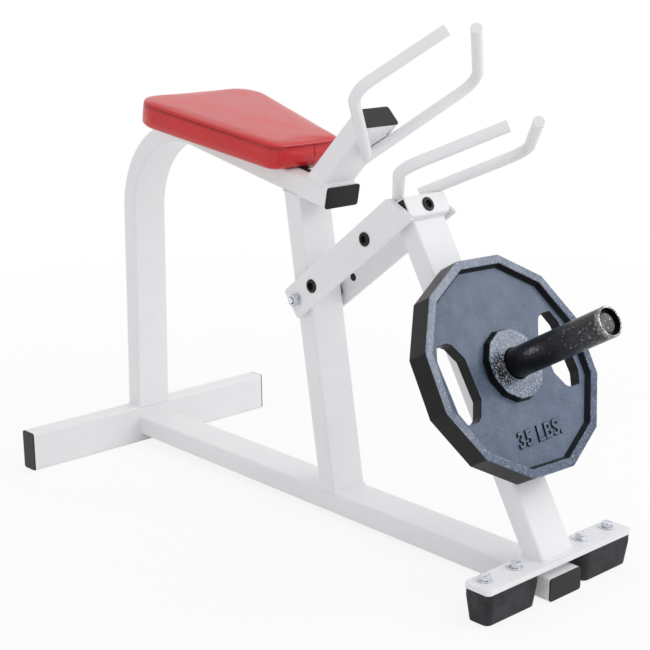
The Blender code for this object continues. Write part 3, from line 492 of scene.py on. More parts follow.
def runsAlong(axis):
    # a test for the edges that run along an axis
    return lambda e: abs(abs((e.verts[1].co - e.verts[0].co).normalized().dot(axis)) - 1) < 0.01


def endFace(sign):
    pick("FACE", lambda f: f.normal.x * sign > 0.99 and abs(f.calc_center_median().yz.length) < 0.0005)


def step(inset, rise=0.0):
    # the picked end face moves in and out, leaving a ring behind it
    bpy.ops.mesh.inset(thickness=inset, depth=rise)


def extrude(x=0.0, y=0.0, z=0.0):
    bpy.ops.mesh.extrude_region_move(TRANSFORM_OT_translate={"value": (x, y, z)})


def thicken(x=0.0, z=0.0):
    # a flat face becomes a closed form
    everything()
    extrude(x, z=z)
    everything()
    bpy.ops.mesh.normals_make_consistent(inside=False)


def mend(near=0.00001):
    # joins the points that fall together and turns every face outward
    everything()
    bpy.ops.mesh.remove_doubles(threshold=near)
    bpy.ops.mesh.normals_make_consistent(inside=False)


def slicePlane(point, normal, waste=True):
    # cuts all of it along a plane; the waste is the side that the normal points to
    everything()
    bpy.ops.mesh.bisect(plane_co=point, plane_no=normal, use_fill=waste, clear_outer=waste)


def roundEdges(test, width, segments):
    pick("EDGE", test)
    bpy.ops.mesh.bevel(offset=width, segments=segments, affect="EDGES")


def boreThrough(radius, hole):
    # opens a round hole from end to end
    pick("FACE", lambda f: abs(f.normal.x) > 0.99)
    step(radius - hole)
    bpy.ops.mesh.bridge_edge_loops()


def modify(kind, **settings):
    # works one modifier into the mesh of the active object
    mode("OBJECT")
    bpy.ops.object.modifier_add(type=kind)
    modifier = bpy.context.object.modifiers[-1]
    give(modifier, **settings)
    bpy.ops.object.modifier_apply(modifier=modifier.name)


def hold(thing):
    # the one object that is selected and active
    letGo()
    thing.select_set(True)
    bpy.context.view_layer.objects.active = thing


def cutWith(target, operation="DIFFERENCE"):
    # takes the active object out of the target, or keeps what they share, and removes it
    cutter = bpy.context.object
    hold(target)
    modify("BOOLEAN", operation=operation, solver="EXACT", object=cutter)
    bpy.data.objects.remove(cutter, do_unlink=True)


def soften(width, segments=2, angle=40):
    # rounds the sharp edges of the finished piece, as paint, casting or moulding does
    modify("BEVEL", width=width, segments=segments, limit_method="ANGLE", angle_limit=math.radians(angle))


def markWearAndShade(rule, blended=False):
    # how worn each face or point is, and how much painted shade or sheen it carries, from its place and the way it
    # faces; the finishes read it
    mode("OBJECT")
    mesh = bpy.context.object.data
    mark = mesh.attributes.new("wear", "FLOAT", "POINT" if blended else "FACE")
    for part, value in zip(mesh.vertices if blended else mesh.polygons, mark.data):
        value.value = rule(part.co if blended else part.center, part.normal)


def finishPiece(name, body, slotName, nodes=(), place=machinePlace, smooth=45, weigh=True, look=None):
    # a piece takes the place of the nodes given, or else of the one that shares its name
    mode("OBJECT")
    piece = bpy.context.object
    piece.name = name
    piece.data.name = name
    settle(place)
    bpy.ops.object.shade_smooth_by_angle(angle=math.radians(smooth))
    if weigh:
        modify("WEIGHTED_NORMAL", keep_sharp=True)
    piece.data.materials.clear()
    piece.data.materials.append(finishes[look or slotName])
    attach(piece, body)
    sameName = "".join("_" + c.lower() if c.isupper() else c for c in name)
    nodes = nodes or [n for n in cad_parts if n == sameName]
    if nodes:
        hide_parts(*nodes)
    piece.select_set(False)
    return piece


def setCopies(body, slotName, places):
    # what repeats is modelled once; each copy of the active object has its own mesh
    mode("OBJECT")
    master = bpy.context.object
    for name, place, *nodes in places:
        copy = master.copy()
        copy.data = master.data.copy()
        scene.collection.objects.link(copy)
        hold(copy)
        settle(place)
        finishPiece(name, body, slotName, nodes, smooth=30)
    bpy.data.objects.remove(master, do_unlink=True)


cap = {"edge": 0.0009, "rim": 0.0025, "dish": 0.00025}


def makeCap(name, node, end, outward, wideWay=yAxis, place=machinePlace):
    # a push-in tube cap: rounded corners, a softly rounded rim and a faint dish in its face
    thick = stock["cap"]
    startBox((thick, stock["wide"], stock["narrow"]))
    roundEdges(runsAlong(xAxis), stock["corner"], 6)
    roundEdges(lambda e: middle(e).x > thick * 0.49, cap["edge"], 3)
    pick("FACE", lambda f: f.normal.x > 0.99)
    step(cap["rim"])
    bpy.ops.transform.translate(value=(-cap["dish"], 0, 0))
    settle(standing(end + outward * (stock["gap"] + thick / 2), outward, outward.cross(wideWay)))
    finishPiece(name, "frame", "black_plastic", [node], place=place)


def makeTube(name, body, nodes, start, end, up, cuts=()):
    # a length of stock tube; each cut is a point and a normal that points to the waste
    along = end - start
    startBox((along.length, stock["wide"], stock["narrow"]))
    roundEdges(runsAlong(xAxis), stock["corner"], 5)
    settle(standing((start + end) / 2, along, up))
    mode("EDIT")
    for point, normal in cuts:
        slicePlane(point, normal)
    finishPiece(name, body, "white_powder_coat", nodes)


def makeFloorFrame():
    reach = base["across"] / 2 - capRoom
    centre = spot(-half, stock["wide"] / 2)
    startBox((stock["narrow"], 2 * reach, stock["wide"]))
    roundEdges(runsAlong(yAxis), stock["corner"], 5)
    finishPiece("crossTube", "frame", "white_powder_coat", ["rear_cross_tube"],
                place=levelPlace @ Matrix.Translation(centre))
    end = spot(base["end"] - capRoom, base["sole"] + half)
    makeTube("baseTube", "frame", (), spot(base["start"], end.z), end, zAxis)
    for side, sign in bothSides:
        makeCap("capCross" + side, "cross_tube_cap_" + side.lower(), centre + yAxis * sign * reach, yAxis * sign,
                zAxis, levelPlace)
    makeCap("capBase", "base_tube_cap", end, xAxis)


def makeSeatTube():
    # post, bend and beam drawn as one swept section
    mid, lean = post["middle"], post["lean"]
    low = crossing(mid, lean, spot(0, stock["wide"] + 2 * stock["gap"]), floorUp)
    # both ends are drawn too long and cut at the end
    startSheet((stock["narrow"], stock["wide"]))
    bpy.ops.mesh.bevel(offset=stock["corner"], segments=5, affect="VERTICES")
    settle(standing(mid, post["ahead"], lean))
    mode("EDIT")
    everything()
    extrude(*(low - mid - lean * 0.01))
    pick("FACE", lambda f: abs((middle(f) - mid).dot(lean)) < 1e-5)
    bpy.ops.mesh.spin(steps=28, angle=-post["turn"], center=post["bendStart"] + post["ahead"] * post["bend"],
                      axis=yAxis)
    extrude(*beam["along"] * 0.5)
    tip = crossing(spot(beam["end"], 0), zAxis, beam["corner"], beam["up"])
    tubeEnd = tip - beam["along"] * capRoom + beam["up"] * half
    slicePlane(tubeEnd, beam["along"])
    slicePlane(low, -floorUp)
    mend()
    finishPiece("seatTube", "frame", "white_powder_coat", ["seat_frame_tube"])
    makeCap("capBeam", "seat_beam_cap", tubeEnd, beam["along"])


def makePosts():
    # both are drawn longer than they are and cut where they meet other tubes
    foot = upright["foot"]
    baseTop = spot(0, base["sole"] + stock["narrow"] + stock["gap"])
    makeTube("uprightPost", "frame", ["upright"], foot, foot + upright["lean"] * 0.7, upright["ahead"],
             [(baseTop, -zAxis), (beam["corner"] - beam["up"] * stock["gap"], beam["up"])])
    end = inclineSpot(-capRoom, half)
    makeTube("inclinePost", "frame", ["inclined_post"], end - incline["along"] * 0.3, end, incline["up"],
             [(beam["top"] + beam["up"] * stock["gap"], -beam["up"])])
    makeCap("capIncline", "inclined_post_cap", end, incline["along"])


makeFloorFrame()
makeSeatTube()
makePosts()
print("frame tubes made")

bar = {"radius": 0.0095, "elbow": 0.038, "sides": 32, "edge": 0.0012, "mitre": 0.020, "apart": 0.0002}


def makeHandle(name, body, root, elbow, tip, mitred=False):
    # one round bar, swept from its root through one bend to its cut end
    first = (elbow - root).normalized()
    second = (tip - elbow).normalized()
    if mitred:
        root = root - first * bar["mitre"]
    turn = first.angle(second)
    normal = first.cross(second).normalized()
    reach = bar["elbow"] * math.tan(turn / 2)
    bendStart = elbow - first * reach
    letGo()
    bpy.ops.mesh.primitive_circle_add(vertices=bar["sides"], radius=bar["radius"], fill_type="NGON")
    settle(standing(root, normal, first))
    mode("EDIT")
    everything()
    extrude(*bendStart - root)
    bpy.ops.mesh.spin(steps=16, angle=-turn, center=bendStart + normal.cross(first) * bar["elbow"], axis=normal)
    extrude(*tip - (elbow + second * reach))
    mend()
    roundEdges(lambda e: all((v.co - tip).length < bar["radius"] * 1.01 for v in e.verts), bar["edge"], 3)
    if mitred:
        # the two roots meet on the machine's middle plane
        outward = yAxis * math.copysign(1, elbow.y)
        slicePlane(outward * bar["apart"], -outward)
    finishPiece(name, body, "white_powder_coat")


# the root, elbow and tip of each handle: along the post, out to the side and down from its end
upperHandle = ((-0.0558, 0.0079, 0.0122), (0.1033, 0.1445, 0.0062), (0.2342, 0.0335, 0.0055))
# the same out from the lever's face and out to the side
lowerHandle = ((-0.0245, 0.0250), (0.1187, 0.1488), (0.2492, 0.0349))
block = {"bottom": 0.6660, "proud": 0.0085, "depth": 0.0125, "drilled": 0.009}


def makeHandles():
    seat = block["bottom"] + stock["narrow"] + bar["radius"] + stock["gap"]
    for side, sign in bothSides:
        points = [inclineSpot(along, -below, sign * out) for along, out, below in upperHandle]
        makeHandle("upperHandle" + side, "frame", *points, mitred=True)
        makeHandle("lowerHandle" + side, "lever", *[leverSpot(out, seat, sign * y) for out, y in lowerHandle])


makeHandles()
print("handles made")

armPlate = {"thick": 0.0064, "inner": 0.0466, "bottom": -0.0290, "top": 0.0280, "rear": -0.0200, "corner": 0.005,
            "frontTop": 0.3010, "frontTip": 0.3300, "edge": 0.0008, "drilled": 0.012}
armPlate["outer"] = armPlate["inner"] + armPlate["thick"]
holePlug = {"radius": 0.012, "thick": 0.0010, "neck": 0.0069, "reach": 0.0070, "play": 0.0002,
            "stations": (0.050, 0.215),
            "steps": ((0.0009, 0.0007), (0.0013, 0.0004), (0.0018, 0.0001), (0.0014, -0.0005), (0.0006, -0.0048),
                      (0.0014, -0.0006))}
footPlate = {"rear": 1.0177, "depth": 0.0510, "width": 0.354, "top": 0.0776, "thick": 0.0095, "corner": 0.008,
             "edge": 0.001}
footMiddle = footPlate["rear"] + footPlate["depth"] / 2

blockMiddle = leverSpot(block["proud"] - stock["wide"] / 2, block["bottom"] + half)
blockFront = standing(leverSpot(block["proud"], block["bottom"] + half), lever["out"], lever["along"])
blockHalf = armPlate["inner"] - stock["gap"]


def besideArm(station, y):
    # a frame at a distance from the machine's middle, with its x pointing away from it
    return standing(armSpot(station, 0, y), yAxis * math.copysign(1, y), arm["up"])


def drill(place, depth):
    # a hole for the neck of a plug, from the face where its flange rests
    target = bpy.context.object
    startRound(holePlug["neck"] + holePlug["play"], -depth, 0.002, 48, place)
    cutWith(target)


def makeArmPlates():
    size = (armPlate["frontTip"] - armPlate["rear"], armPlate["thick"], armPlate["top"] - armPlate["bottom"])
    upper = armSpot(armPlate["frontTop"], armPlate["top"])
    front = (upper - armSpot(armPlate["frontTip"], armPlate["bottom"])).normalized().cross(yAxis)
    front *= math.copysign(1, front.dot(arm["along"]))
    for side, sign in bothSides:
        centre = armSpot(armPlate["rear"] + size[0] / 2, armPlate["bottom"] + size[2] / 2,
                         sign * (armPlate["inner"] + size[1] / 2))
        startBox(size, standing(centre, arm["along"], arm["up"]))
        slicePlane(upper, front)
        roundEdges(runsAlong(yAxis), armPlate["corner"], 5)
        soften(armPlate["edge"])
        for station in holePlug["stations"]:
            drill(besideArm(station, sign * armPlate["outer"]), armPlate["drilled"])
        finishPiece("armPlate" + side, "lever", "white_powder_coat")


def makeLeverPost():
    makeTube("leverPost", "lever", (), leverSpot(-half, 0), leverSpot(-half, block["bottom"] - stock["gap"]),
             lever["out"], [(spot(0, footPlate["top"] + stock["gap"]), -zAxis)])
    # the block: a short length of the same tube laid across, open at both ends
    startBox((stock["wide"], 2 * blockHalf, stock["narrow"]))
    roundEdges(runsAlong(yAxis), stock["corner"], 5)
    pick("FACE", lambda f: abs(f.normal.y) > 0.99)
    step(stock["wall"])
    bpy.ops.mesh.extrude_region_shrink_fatten(TRANSFORM_OT_shrink_fatten={"value": -block["depth"]})
    settle(standing(blockMiddle, lever["out"], lever["along"]))
    drill(blockFront, block["drilled"])
    finishPiece("topBlock", "lever", "white_powder_coat")


def makeFootPlate():
    startBox((footPlate["depth"], footPlate["width"], footPlate["thick"]),
             moved(footMiddle, 0, footPlate["top"] - footPlate["thick"] / 2))
    roundEdges(runsAlong(zAxis), footPlate["corner"], 6)
    soften(footPlate["edge"])
    finishPiece("footPlate", "lever", "white_powder_coat")


rubberFoot = {"inner": 0.056, "outer": 0.177, "corner": 0.012, "taper": 0.005, "waist": 0.012, "edge": 0.002}


def makeRubberFeet():
    low = footPlate["top"] - footPlate["thick"] - stock["gap"]
    slope = math.tan(math.radians(tilt["fall"]))
    sole = footMiddle * slope
    width = rubberFoot["outer"] - rubberFoot["inner"]
    shares = [1 - 2 * rubberFoot["taper"] / size for size in (footPlate["depth"], width)]
    for side, sign in bothSides:
        middleY = sign * (rubberFoot["outer"] + rubberFoot["inner"]) / 2
        startBox((footPlate["depth"], width, low - sole), moved(footMiddle, middleY, (low + sole) / 2))
        roundEdges(runsAlong(zAxis), rubberFoot["corner"], 7)
        slicePlane((0, 0, low - rubberFoot["waist"]), zAxis, waste=False)
        pick("VERT", lambda v: v.co.z < sole + 0.001)
        bpy.ops.transform.resize(value=(*shares, 1), center_override=(footMiddle, middleY, sole))
        # the sole follows the floor, which the tilted machine stands on
        mesh = bmesh.from_edit_mesh(bpy.context.object.data)
        for v in mesh.verts:
            if v.select:
                v.co.z = v.co.x * slope
        bmesh.update_edit_mesh(bpy.context.object.data)
        soften(rubberFoot["edge"], 3, 30)
        finishPiece("rubberFoot" + side, "lever", "black_rubber")


makeArmPlates()
makeLeverPost()
makeFootPlate()
makeRubberFeet()
print("lever made")

horn = {"station": 0.3926, "radius": 0.0245, "wall": 0.0037, "length": 0.262, "recess": 0.0092, "disc": 0.0026,
        "ring": 0.0052, "bevel": 0.0007, "bands": 24, "lip": 0.0009, "collar": 0.036, "collarEdge": 0.0012,
        "land": 0.004}
plate = {"face": 0.0613, "thick": 0.0405, "radius": 0.1838, "twist": 1.9, "rim": 0.0135, "draft": 0.0045,
         "recess": 0.012, "backRecess": 0.0085, "hub": 0.0572, "hubDraft": 0.0024, "hubProud": 0.002, "bore": 0.0256,
         "edge": 0.0016, "near": 0.0025,
         "wear": {"hub": 1.0, "rim": 0.88, "edge": 0.95, "web": 0.595, "slope": 0.12, "wall": 0.08},
         "slot": ((0.090, 0.033), (0.105, 0.058), (0.113, 0.063), (0.136, 0.063), (0.146, 0.042))}
plate["back"] = plate["face"] - plate["thick"]
hornRoot = leverSpot(0, horn["station"])
hornPlace = standing(hornRoot, lever["out"], lever["along"])


def hornWear(at, normal):
    # plates rub the outer half and the mouth, and one patch on the near side; the recess stays black
    share = at.x / horn["length"]
    mouth = horn["radius"] - horn["wall"]
    if at.yz.length < mouth + horn["wall"] * 0.1:
        return 0.9 if at.yz.length < mouth - horn["ring"] + 0.0002 and normal.x > 0.3 else 0.05
    if share > 0.985:                               # the rim of the mouth
        return 1.9
    patch = math.exp(-((share - 0.46) / 0.10) ** 2 - (Vector((-1, 0.3)).angle(at.yz, 0) / 0.34) ** 2)
    return max(0.0, min(1.0, (share - 0.45) * 3.0)) * 0.9 + 0.1 + 1.4 * patch


def makeHorn():
    startRound(horn["radius"], stock["gap"], horn["length"], 64)
    pick("FACE", lambda f: f.normal.x > 0.99)
    step(horn["wall"])
    extrude(-horn["recess"])
    step(horn["ring"])
    extrude(horn["disc"])
    step(horn["bevel"], horn["bevel"])
    roundEdges(lambda e: middle(e).x > horn["length"] - 0.0001, horn["lip"], 3)
    # bands along the tube let its wear grow towards the open end
    for k in range(1, horn["bands"]):
        slicePlane(((horn["length"] - stock["gap"]) * k / horn["bands"], 0, 0), xAxis, waste=False)
    markWearAndShade(hornWear, blended=True)
    settle(hornPlace)
    finishPiece("weightHorn", "lever", "black_steel", ["weight_horn", "horn_end_disc"])
    startRound(horn["collar"], stock["gap"], plate["back"] - 2 * stock["gap"], 64)
    pick("FACE", lambda f: f.normal.x > 0.99)
    step(horn["collar"] - horn["radius"] - horn["land"])
    soften(horn["collarEdge"], 3)
    settle(hornPlace)
    finishPiece("hornCollar", "lever", "black_steel", ["horn_stop_collar"])


def plateWearAndSheen(at, normal):
    # flats of rim and hub are rubbed pale, their edges most; the web is dull and the walls are nearly black. Faces that
    # look out are also painted lighter than the walls as painted sheen
    raised = at.x > plate["face"] - plate["near"] or at.x < plate["back"] + plate["near"]
    if abs(normal.x) > 0.95:
        where = "web" if not raised else "hub" if at.yz.length < plate["hub"] else "rim"
    elif abs(normal.x) > 0.25:
        where = "edge" if raised else "slope"
    else:
        where = "wall"
    return plate["wear"][where]


def makeWeightPlate():
    # a twelve-sided iron casting, sunk between rim and hub on both faces
    corner = 1 / math.cos(math.radians(15))
    rimInner = plate["radius"] - plate["rim"] * corner
    webOuter = rimInner - plate["draft"] * corner
    hubFoot = plate["hub"] + plate["hubDraft"]
    body = startRound(plate["radius"], plate["back"], plate["face"], 12)
    everything()
    bpy.ops.transform.rotate(value=math.radians(15 + plate["twist"]), orient_axis="X", center_override=(0, 0, 0))
    for facing, depth, web in ((1, plate["face"], plate["recess"]), (-1, plate["back"], plate["backRecess"])):
        pick("FACE", lambda f: f.normal.x * facing > 0.99)
        for scale in (rimInner / plate["radius"], webOuter / rimInner, hubFoot / webOuter, plate["hub"] / hubFoot):
            extrude()
            bpy.ops.transform.resize(value=(1, scale, scale), center_override=(depth, 0, 0))
        pick("VERT", lambda v: abs(v.co.x - depth) < 1e-5 and plate["hub"] * 1.02 < v.co.yz.length < webOuter * 1.001)
        bpy.ops.transform.translate(value=(-facing * web, 0, 0))
    pick("VERT", lambda v: v.co.x > plate["face"] - 1e-5 and v.co.yz.length < plate["hub"] * 1.01)
    bpy.ops.transform.translate(value=(plate["hubProud"], 0, 0))
    startRound(plate["bore"], -0.1, 0.1, 64)
    cutWith(body)
    # the two grip slots
    spin = Matrix.Rotation(math.radians(plate["twist"]), 2)
    for sign in (-1, 1):
        outline = [(sign * a, b) for a, b in plate["slot"]] + [(sign * a, -b) for a, b in reversed(plate["slot"])]
        letGo()
        bpy.ops.mesh.primitive_circle_add(vertices=len(outline), radius=0.05, fill_type="NGON")
        for v, corner in zip(bpy.context.object.data.vertices, outline):
            v.co = (-0.05, *(spin @ Vector(corner)))
        mode("EDIT")
        thicken(0.2)
        cutWith(body)
    soften(plate["edge"], 3, 25)
    markWearAndShade(plateWearAndSheen)
    settle(hornPlace)
    finishPiece("weightPlate", "weight", "painted_iron", smooth=35)


makeHorn()
makeWeightPlate()
print("horn and plate made")


def hexHead(flats, height, chamfer=0.16):
    # a hexagon whose corners are turned down by a wider round bar, along x from zero
    head = startRound(flats / 2 / math.cos(math.radians(30)), 0, height, 6)
    wide = flats * 0.59                             # clears the corners
    cut = wide - flats / 2 * (1 - chamfer / 2)
    slope = cut * 0.55
    startRound(wide, -0.00001, height - slope - 0.00001, 64)
    endFace(1)
    step(cut, slope)
    cutWith(head, "INTERSECT")
    return head


def growShank(flats, radius, length):
    # a round shank back from under the head
    mode("EDIT")
    endFace(-1)
    step(flats / 2 - radius)
    extrude(-length)


def makeHolePlugs():
    # push-in plugs: a domed black flange round a sunken middle
    startRound(holePlug["radius"], stock["gap"], stock["gap"] + holePlug["thick"])
    endFace(1)
    for move in holePlug["steps"]:
        step(*move)
    endFace(-1)
    step(holePlug["radius"] - holePlug["neck"])
    extrude(-holePlug["reach"])
    places = [("armPlug" + side + end, besideArm(station, sign * armPlate["outer"]))
              for side, sign in bothSides for end, station in zip(("Rear", "Front"), holePlug["stations"])]
    setCopies("lever", "black_plastic", places + [("blockPlugFront", blockFront, "block_front_plug")])


blockCap = {"thick": 0.011, "sunk": 0.001, "corner": 0.0022, "steps": ((0.0008, 0.0004), (0.003, -0.0004))}


def makeBlockCaps():
    # the plugs pressed into the open ends of the cross block
    wide, narrow = (stock[k] - 2 * stock["wall"] - 2 * stock["gap"] for k in ("wide", "narrow"))
    startBox((blockCap["thick"], wide, narrow), moved(-blockCap["sunk"] - blockCap["thick"] / 2))
    roundEdges(runsAlong(xAxis), blockCap["corner"], 4)
    endFace(1)
    for move in blockCap["steps"]:
        step(*move)
    setCopies("lever", "black_plastic",
              [("blockCap" + side, standing(blockMiddle + yAxis * sign * blockHalf, yAxis * sign, lever["along"]))
               for side, sign in bothSides])


pivot = {"bolt": 0.00635, "hole": 0.00665, "bush": 0.0127, "washer": 0.013, "washerThick": 0.002, "flats": 0.019,
         "nut": 0.0095, "head": 0.008, "tip": 0.003, "pitch": 0.0013, "turns": 6, "root": 0.88, "edge": 0.0003,
         "bushEdge": 0.0006, "washerEdge": 0.0004, "unthreaded": 0.004, "point": 0.85}


def makePivot():
    start = stock["wide"] / 2 + stock["gap"]
    seat = armPlate["outer"] + 2 * stock["gap"] + pivot["washerThick"]
    for name, radius, thick, edge, slotName, away in (
            ("pivotBush", pivot["bush"], blockHalf - start, pivot["bushEdge"], "turned_steel", start),
            ("pivotWasher", pivot["washer"], pivot["washerThick"], pivot["washerEdge"], "zinc_steel",
             armPlate["outer"] + stock["gap"])):
        startRound(radius, 0, thick)
        boreThrough(radius, pivot["hole"])
        soften(edge)
        setCopies("frame", slotName, [(name + side, besideArm(0, sign * away)) for side, sign in bothSides])
    nut = hexHead(pivot["flats"], pivot["nut"])
    startRound(pivot["hole"], -0.015, 0.015)
    cutWith(nut)
    soften(pivot["edge"])
    settle(standing(armSpot(0, 0, -seat), -yAxis, heading(75)))
    finishPiece("pivotNut", "frame", "zinc_steel", smooth=30)
    # the bolt: shank with rolled thread at its tip, and a hexagon head on the far side
    hexHead(pivot["flats"], pivot["head"])
    soften(pivot["edge"])
    plain = 2 * seat - pivot["unthreaded"]
    growShank(pivot["flats"], pivot["bolt"], plain)
    for k in range(2 * pivot["turns"]):
        extrude(-pivot["pitch"] / 2)
        grow = 1 / pivot["root"] if k % 2 else pivot["root"]
        bpy.ops.transform.resize(value=(1, grow, grow))
    extrude(plain + pivot["turns"] * pivot["pitch"] - (seat * 2 + pivot["nut"] + pivot["tip"]))
    bpy.ops.transform.resize(value=(1, pivot["point"], pivot["point"]))
    settle(besideArm(0, seat))
    finishPiece("pivotBolt", "frame", "zinc_steel", smooth=30)


footBolt = {"x": 1.038, "y": (0.081, 0.150), "radius": 0.005, "depth": 0.022, "flats": 0.017, "head": 0.0075,
            "chamfer": 0.2, "edge": 0.0003, "washer": 0.0125, "washerThick": 0.0016, "washerEdge": 0.0004,
            "turns": (10, 35, -8, 22)}


def makeFootBolts():
    thick = footBolt["washerThick"]
    rise = thick + stock["gap"]
    seats = [(side + end, standing(spot(footBolt["x"], footPlate["top"] + stock["gap"], sign * y), zAxis, xAxis))
             for side, sign in bothSides for end, y in zip(("Inner", "Outer"), footBolt["y"])]
    startRound(footBolt["washer"], 0, thick)
    boreThrough(footBolt["washer"], footBolt["radius"] + stock["gap"])
    soften(footBolt["washerEdge"])
    setCopies("lever", "zinc_steel", [("footWasher" + which, place) for which, place in seats])
    hexHead(footBolt["flats"], footBolt["head"], footBolt["chamfer"])
    soften(footBolt["edge"])
    growShank(footBolt["flats"], footBolt["radius"], rise + footPlate["thick"] + footBolt["depth"])
    setCopies("lever", "zinc_steel", [("footBolt" + which, place @ moved(rise) @ turned(turn, "X"))
                                      for (which, place), turn in zip(seats, footBolt["turns"])])


makeHolePlugs()
makeBlockCaps()
makePivot()
makeFootBolts()
print("fasteners and plugs made")

weld = {"radius": 0.0026, "fine": 0.0022, "pitch": 0.0026, "ripple": 0.10, "upperEdge": 0.022, "lowerEdge": 0.010,
        "low": (-0.002, 0.004), "high": (0.0015, -0.005), "inside": 0.0006, "sunk": 0.0004}


def roundedLoop(wide, narrow, corner):
    # points at an even step round a rectangle with rounded corners
    sides = (wide - 2 * corner, narrow - 2 * corner)
    arc = corner * math.pi / 2
    count = int(2 * (sum(sides) + 2 * arc) / (weld["pitch"] / 4))
    points = []
    for i in range(count):
        left = 2 * (sum(sides) + 2 * arc) * i / count
        at = Vector((-sides[0] / 2, -narrow / 2))
        turn = 0.0
        for k in range(4):
            run = sides[k % 2]
            ahead = Vector((math.cos(turn), math.sin(turn)))
            if left <= run:
                at += ahead * left
                break
            left -= run
            at += ahead * run
            inward = Vector((-ahead.y, ahead.x))
            if left <= arc:
                swing = left / corner
                at += ahead * corner * math.sin(swing) + inward * corner * (1 - math.cos(swing))
                break
            left -= arc
            at += (ahead + inward) * corner
            turn += math.pi / 2
        points.append(at)
    return points


def jointLine(origin, along, planePoint, planeNormal):
    # where the skin of a tube meets a plane
    across = along.cross(yAxis).normalized()
    return [crossing(origin + yAxis * a + across * b, along, planePoint, planeNormal)
            for a, b in roundedLoop(stock["wide"], stock["narrow"], stock["corner"])]


def between(start, end):
    # points at an even step along a straight line
    count = max(2, int((end - start).length / (weld["pitch"] / 4)))
    return [start.lerp(end, i / count) for i in range(count + 1)]


def barLine(root, elbow, faceUp, edge):
    # round the root of a bar that lies on a face, from the face's edge and back to it
    along = elbow - root
    along = (along - faceUp * along.dot(faceUp)).normalized()
    side = faceUp.cross(along)
    far = root + along * edge / abs(along.y)
    wide = bar["radius"] * 0.80
    turn = [root + side * wide * math.cos(math.radians(t)) - along * wide * math.sin(math.radians(t))
            for t in range(0, 181, 10)]
    return between(far + side * wide, turn[0]) + turn[1:-1] + between(turn[-1], far - side * wide)


def makeWeld(name, body, points, closed=True, radius=weld["radius"], slotName="white_powder_coat"):
    # a bead along the joint, with the ripple that each dab of the torch leaves
    curve = bpy.data.curves.new(name, "CURVE")
    give(curve, dimensions="3D", bevel_depth=radius, bevel_resolution=2, use_fill_caps=not closed)
    line = curve.splines.new("POLY")
    line.points.add(len(points) - 1)
    line.use_cyclic_u = closed
    for i, at in enumerate(points):
        line.points[i].co = (*at, 1)
        wander = 0.05 * math.sin(i * 0.13) + 0.04 * math.sin(i * 0.031 + 1)
        line.points[i].radius = 1 + wander + weld["ripple"] * abs(math.sin(i * math.pi / 4))
    bead = bpy.data.objects.new(name, curve)
    scene.collection.objects.link(bead)
    hold(bead)
    bpy.ops.object.convert(target="MESH")
    mode("EDIT")
    mend()
    finishPiece(name, body, slotName, smooth=80, weigh=False)


def makeWelds():
    onPost = jointLine(post["middle"], post["lean"], spot(0, stock["wide"]), floorUp)
    makeWeld("weldPost", "frame", onPost, radius=weld["fine"])
    foot, head = leverSpot(-half, 0), leverSpot(0, block["bottom"])
    baseTop = spot(0, base["sole"] + stock["narrow"])
    for name, body, *joint in (
            ("weldBase", "frame", spot(0.1, base["sole"] + half), xAxis, spot(base["start"], 0), xAxis),
            ("weldUprightFoot", "frame", upright["foot"], upright["lean"], baseTop, zAxis),
            ("weldUprightHead", "frame", upright["foot"], upright["lean"], beam["corner"], beam["up"]),
            ("weldIncline", "frame", inclineSpot(0, half), incline["along"], beam["top"], beam["up"]),
            ("weldLeverFoot", "lever", foot, lever["along"], spot(0, footPlate["top"]), zAxis),
            ("weldLeverHead", "lever", foot, lever["along"], head, lever["along"])):
        makeWeld(name, body, jointLine(*joint))
    for side, sign in bothSides:
        wall = sign * (armPlate["inner"] + weld["inside"])
        low = armSpot(armPlate["frontTip"] + weld["low"][0], armPlate["bottom"] + weld["low"][1], wall)
        high = armSpot(armPlate["frontTop"] + weld["high"][0], armPlate["top"] + weld["high"][1], wall)
        makeWeld("weldArm" + side, "lever", between(low, high), closed=False)
        root, elbow = [inclineSpot(along, -weld["sunk"], sign * out) for along, out, _ in upperHandle[:2]]
        makeWeld("weldUpperHandle" + side, "frame", barLine(root, elbow, -incline["up"], weld["upperEdge"]),
                 closed=False, radius=weld["fine"])
        root, elbow = [leverSpot(out, block["bottom"] + stock["narrow"], sign * y) for out, y in lowerHandle[:2]]
        makeWeld("weldLowerHandle" + side, "lever", barLine(root, elbow, lever["along"], weld["lowerEdge"]),
                 closed=False, radius=weld["fine"])
    ring = [hornRoot + yAxis * horn["collar"] * math.cos(math.radians(t)) +
            lever["along"] * horn["collar"] * math.sin(math.radians(t)) for t in range(360)]
    makeWeld("weldHorn", "lever", ring, radius=weld["fine"], slotName="black_steel")


makeWelds()
print("welds made")

# the steps of the cushion lead up from its widest line and down from it, each a move in and a move on
pad = {"rear": 0.139, "front": 0.474, "lift": 0.0033, "rearHalf": 0.1489, "taper": 11.87, "rearRadius": 0.050,
       "frontRadius": 0.024, "crown": 0.0492, "seam": 0.0414, "grid": 0.004, "pressure": 4.0, "puff": 0.0013,
       "joinSide": 0.015, "held": 0.006, "stiff": 40, "bendStiff": 4, "frames": 20,
       "seamHalf": 0.0010, "seamDeep": 0.0013, "joinHalf": 0.0009, "joinDeep": 0.0015,
       "up": ((0.0002, 0.010), (0.0003, 0.0078), (0.0005, 0.0024), (0.0009, 0.0018), (0.0015, 0.0013),
              (0.0024, 0.0008), (0.0040, 0.0004), (0.010, 0.0003)),
       "down": ((0.0008, 0.008), (0.0015, 0.008), (0.0025, 0.0026))}
stitch = {"gap": 0.0042, "away": 0.0030, "sunk": 0.0001, "radius": 0.00038, "half": 0.0014, "end": (0.00018, 0.0002)}
under = {"board": 0.006, "boardThick": 0.0108, "hem": 0.0068, "hemThick": 0.0012, "hemWide": 0.024, "staples": 0.019,
         "stapleGap": 0.021, "staple": (0.0095, 0.0012, 0.0006)}
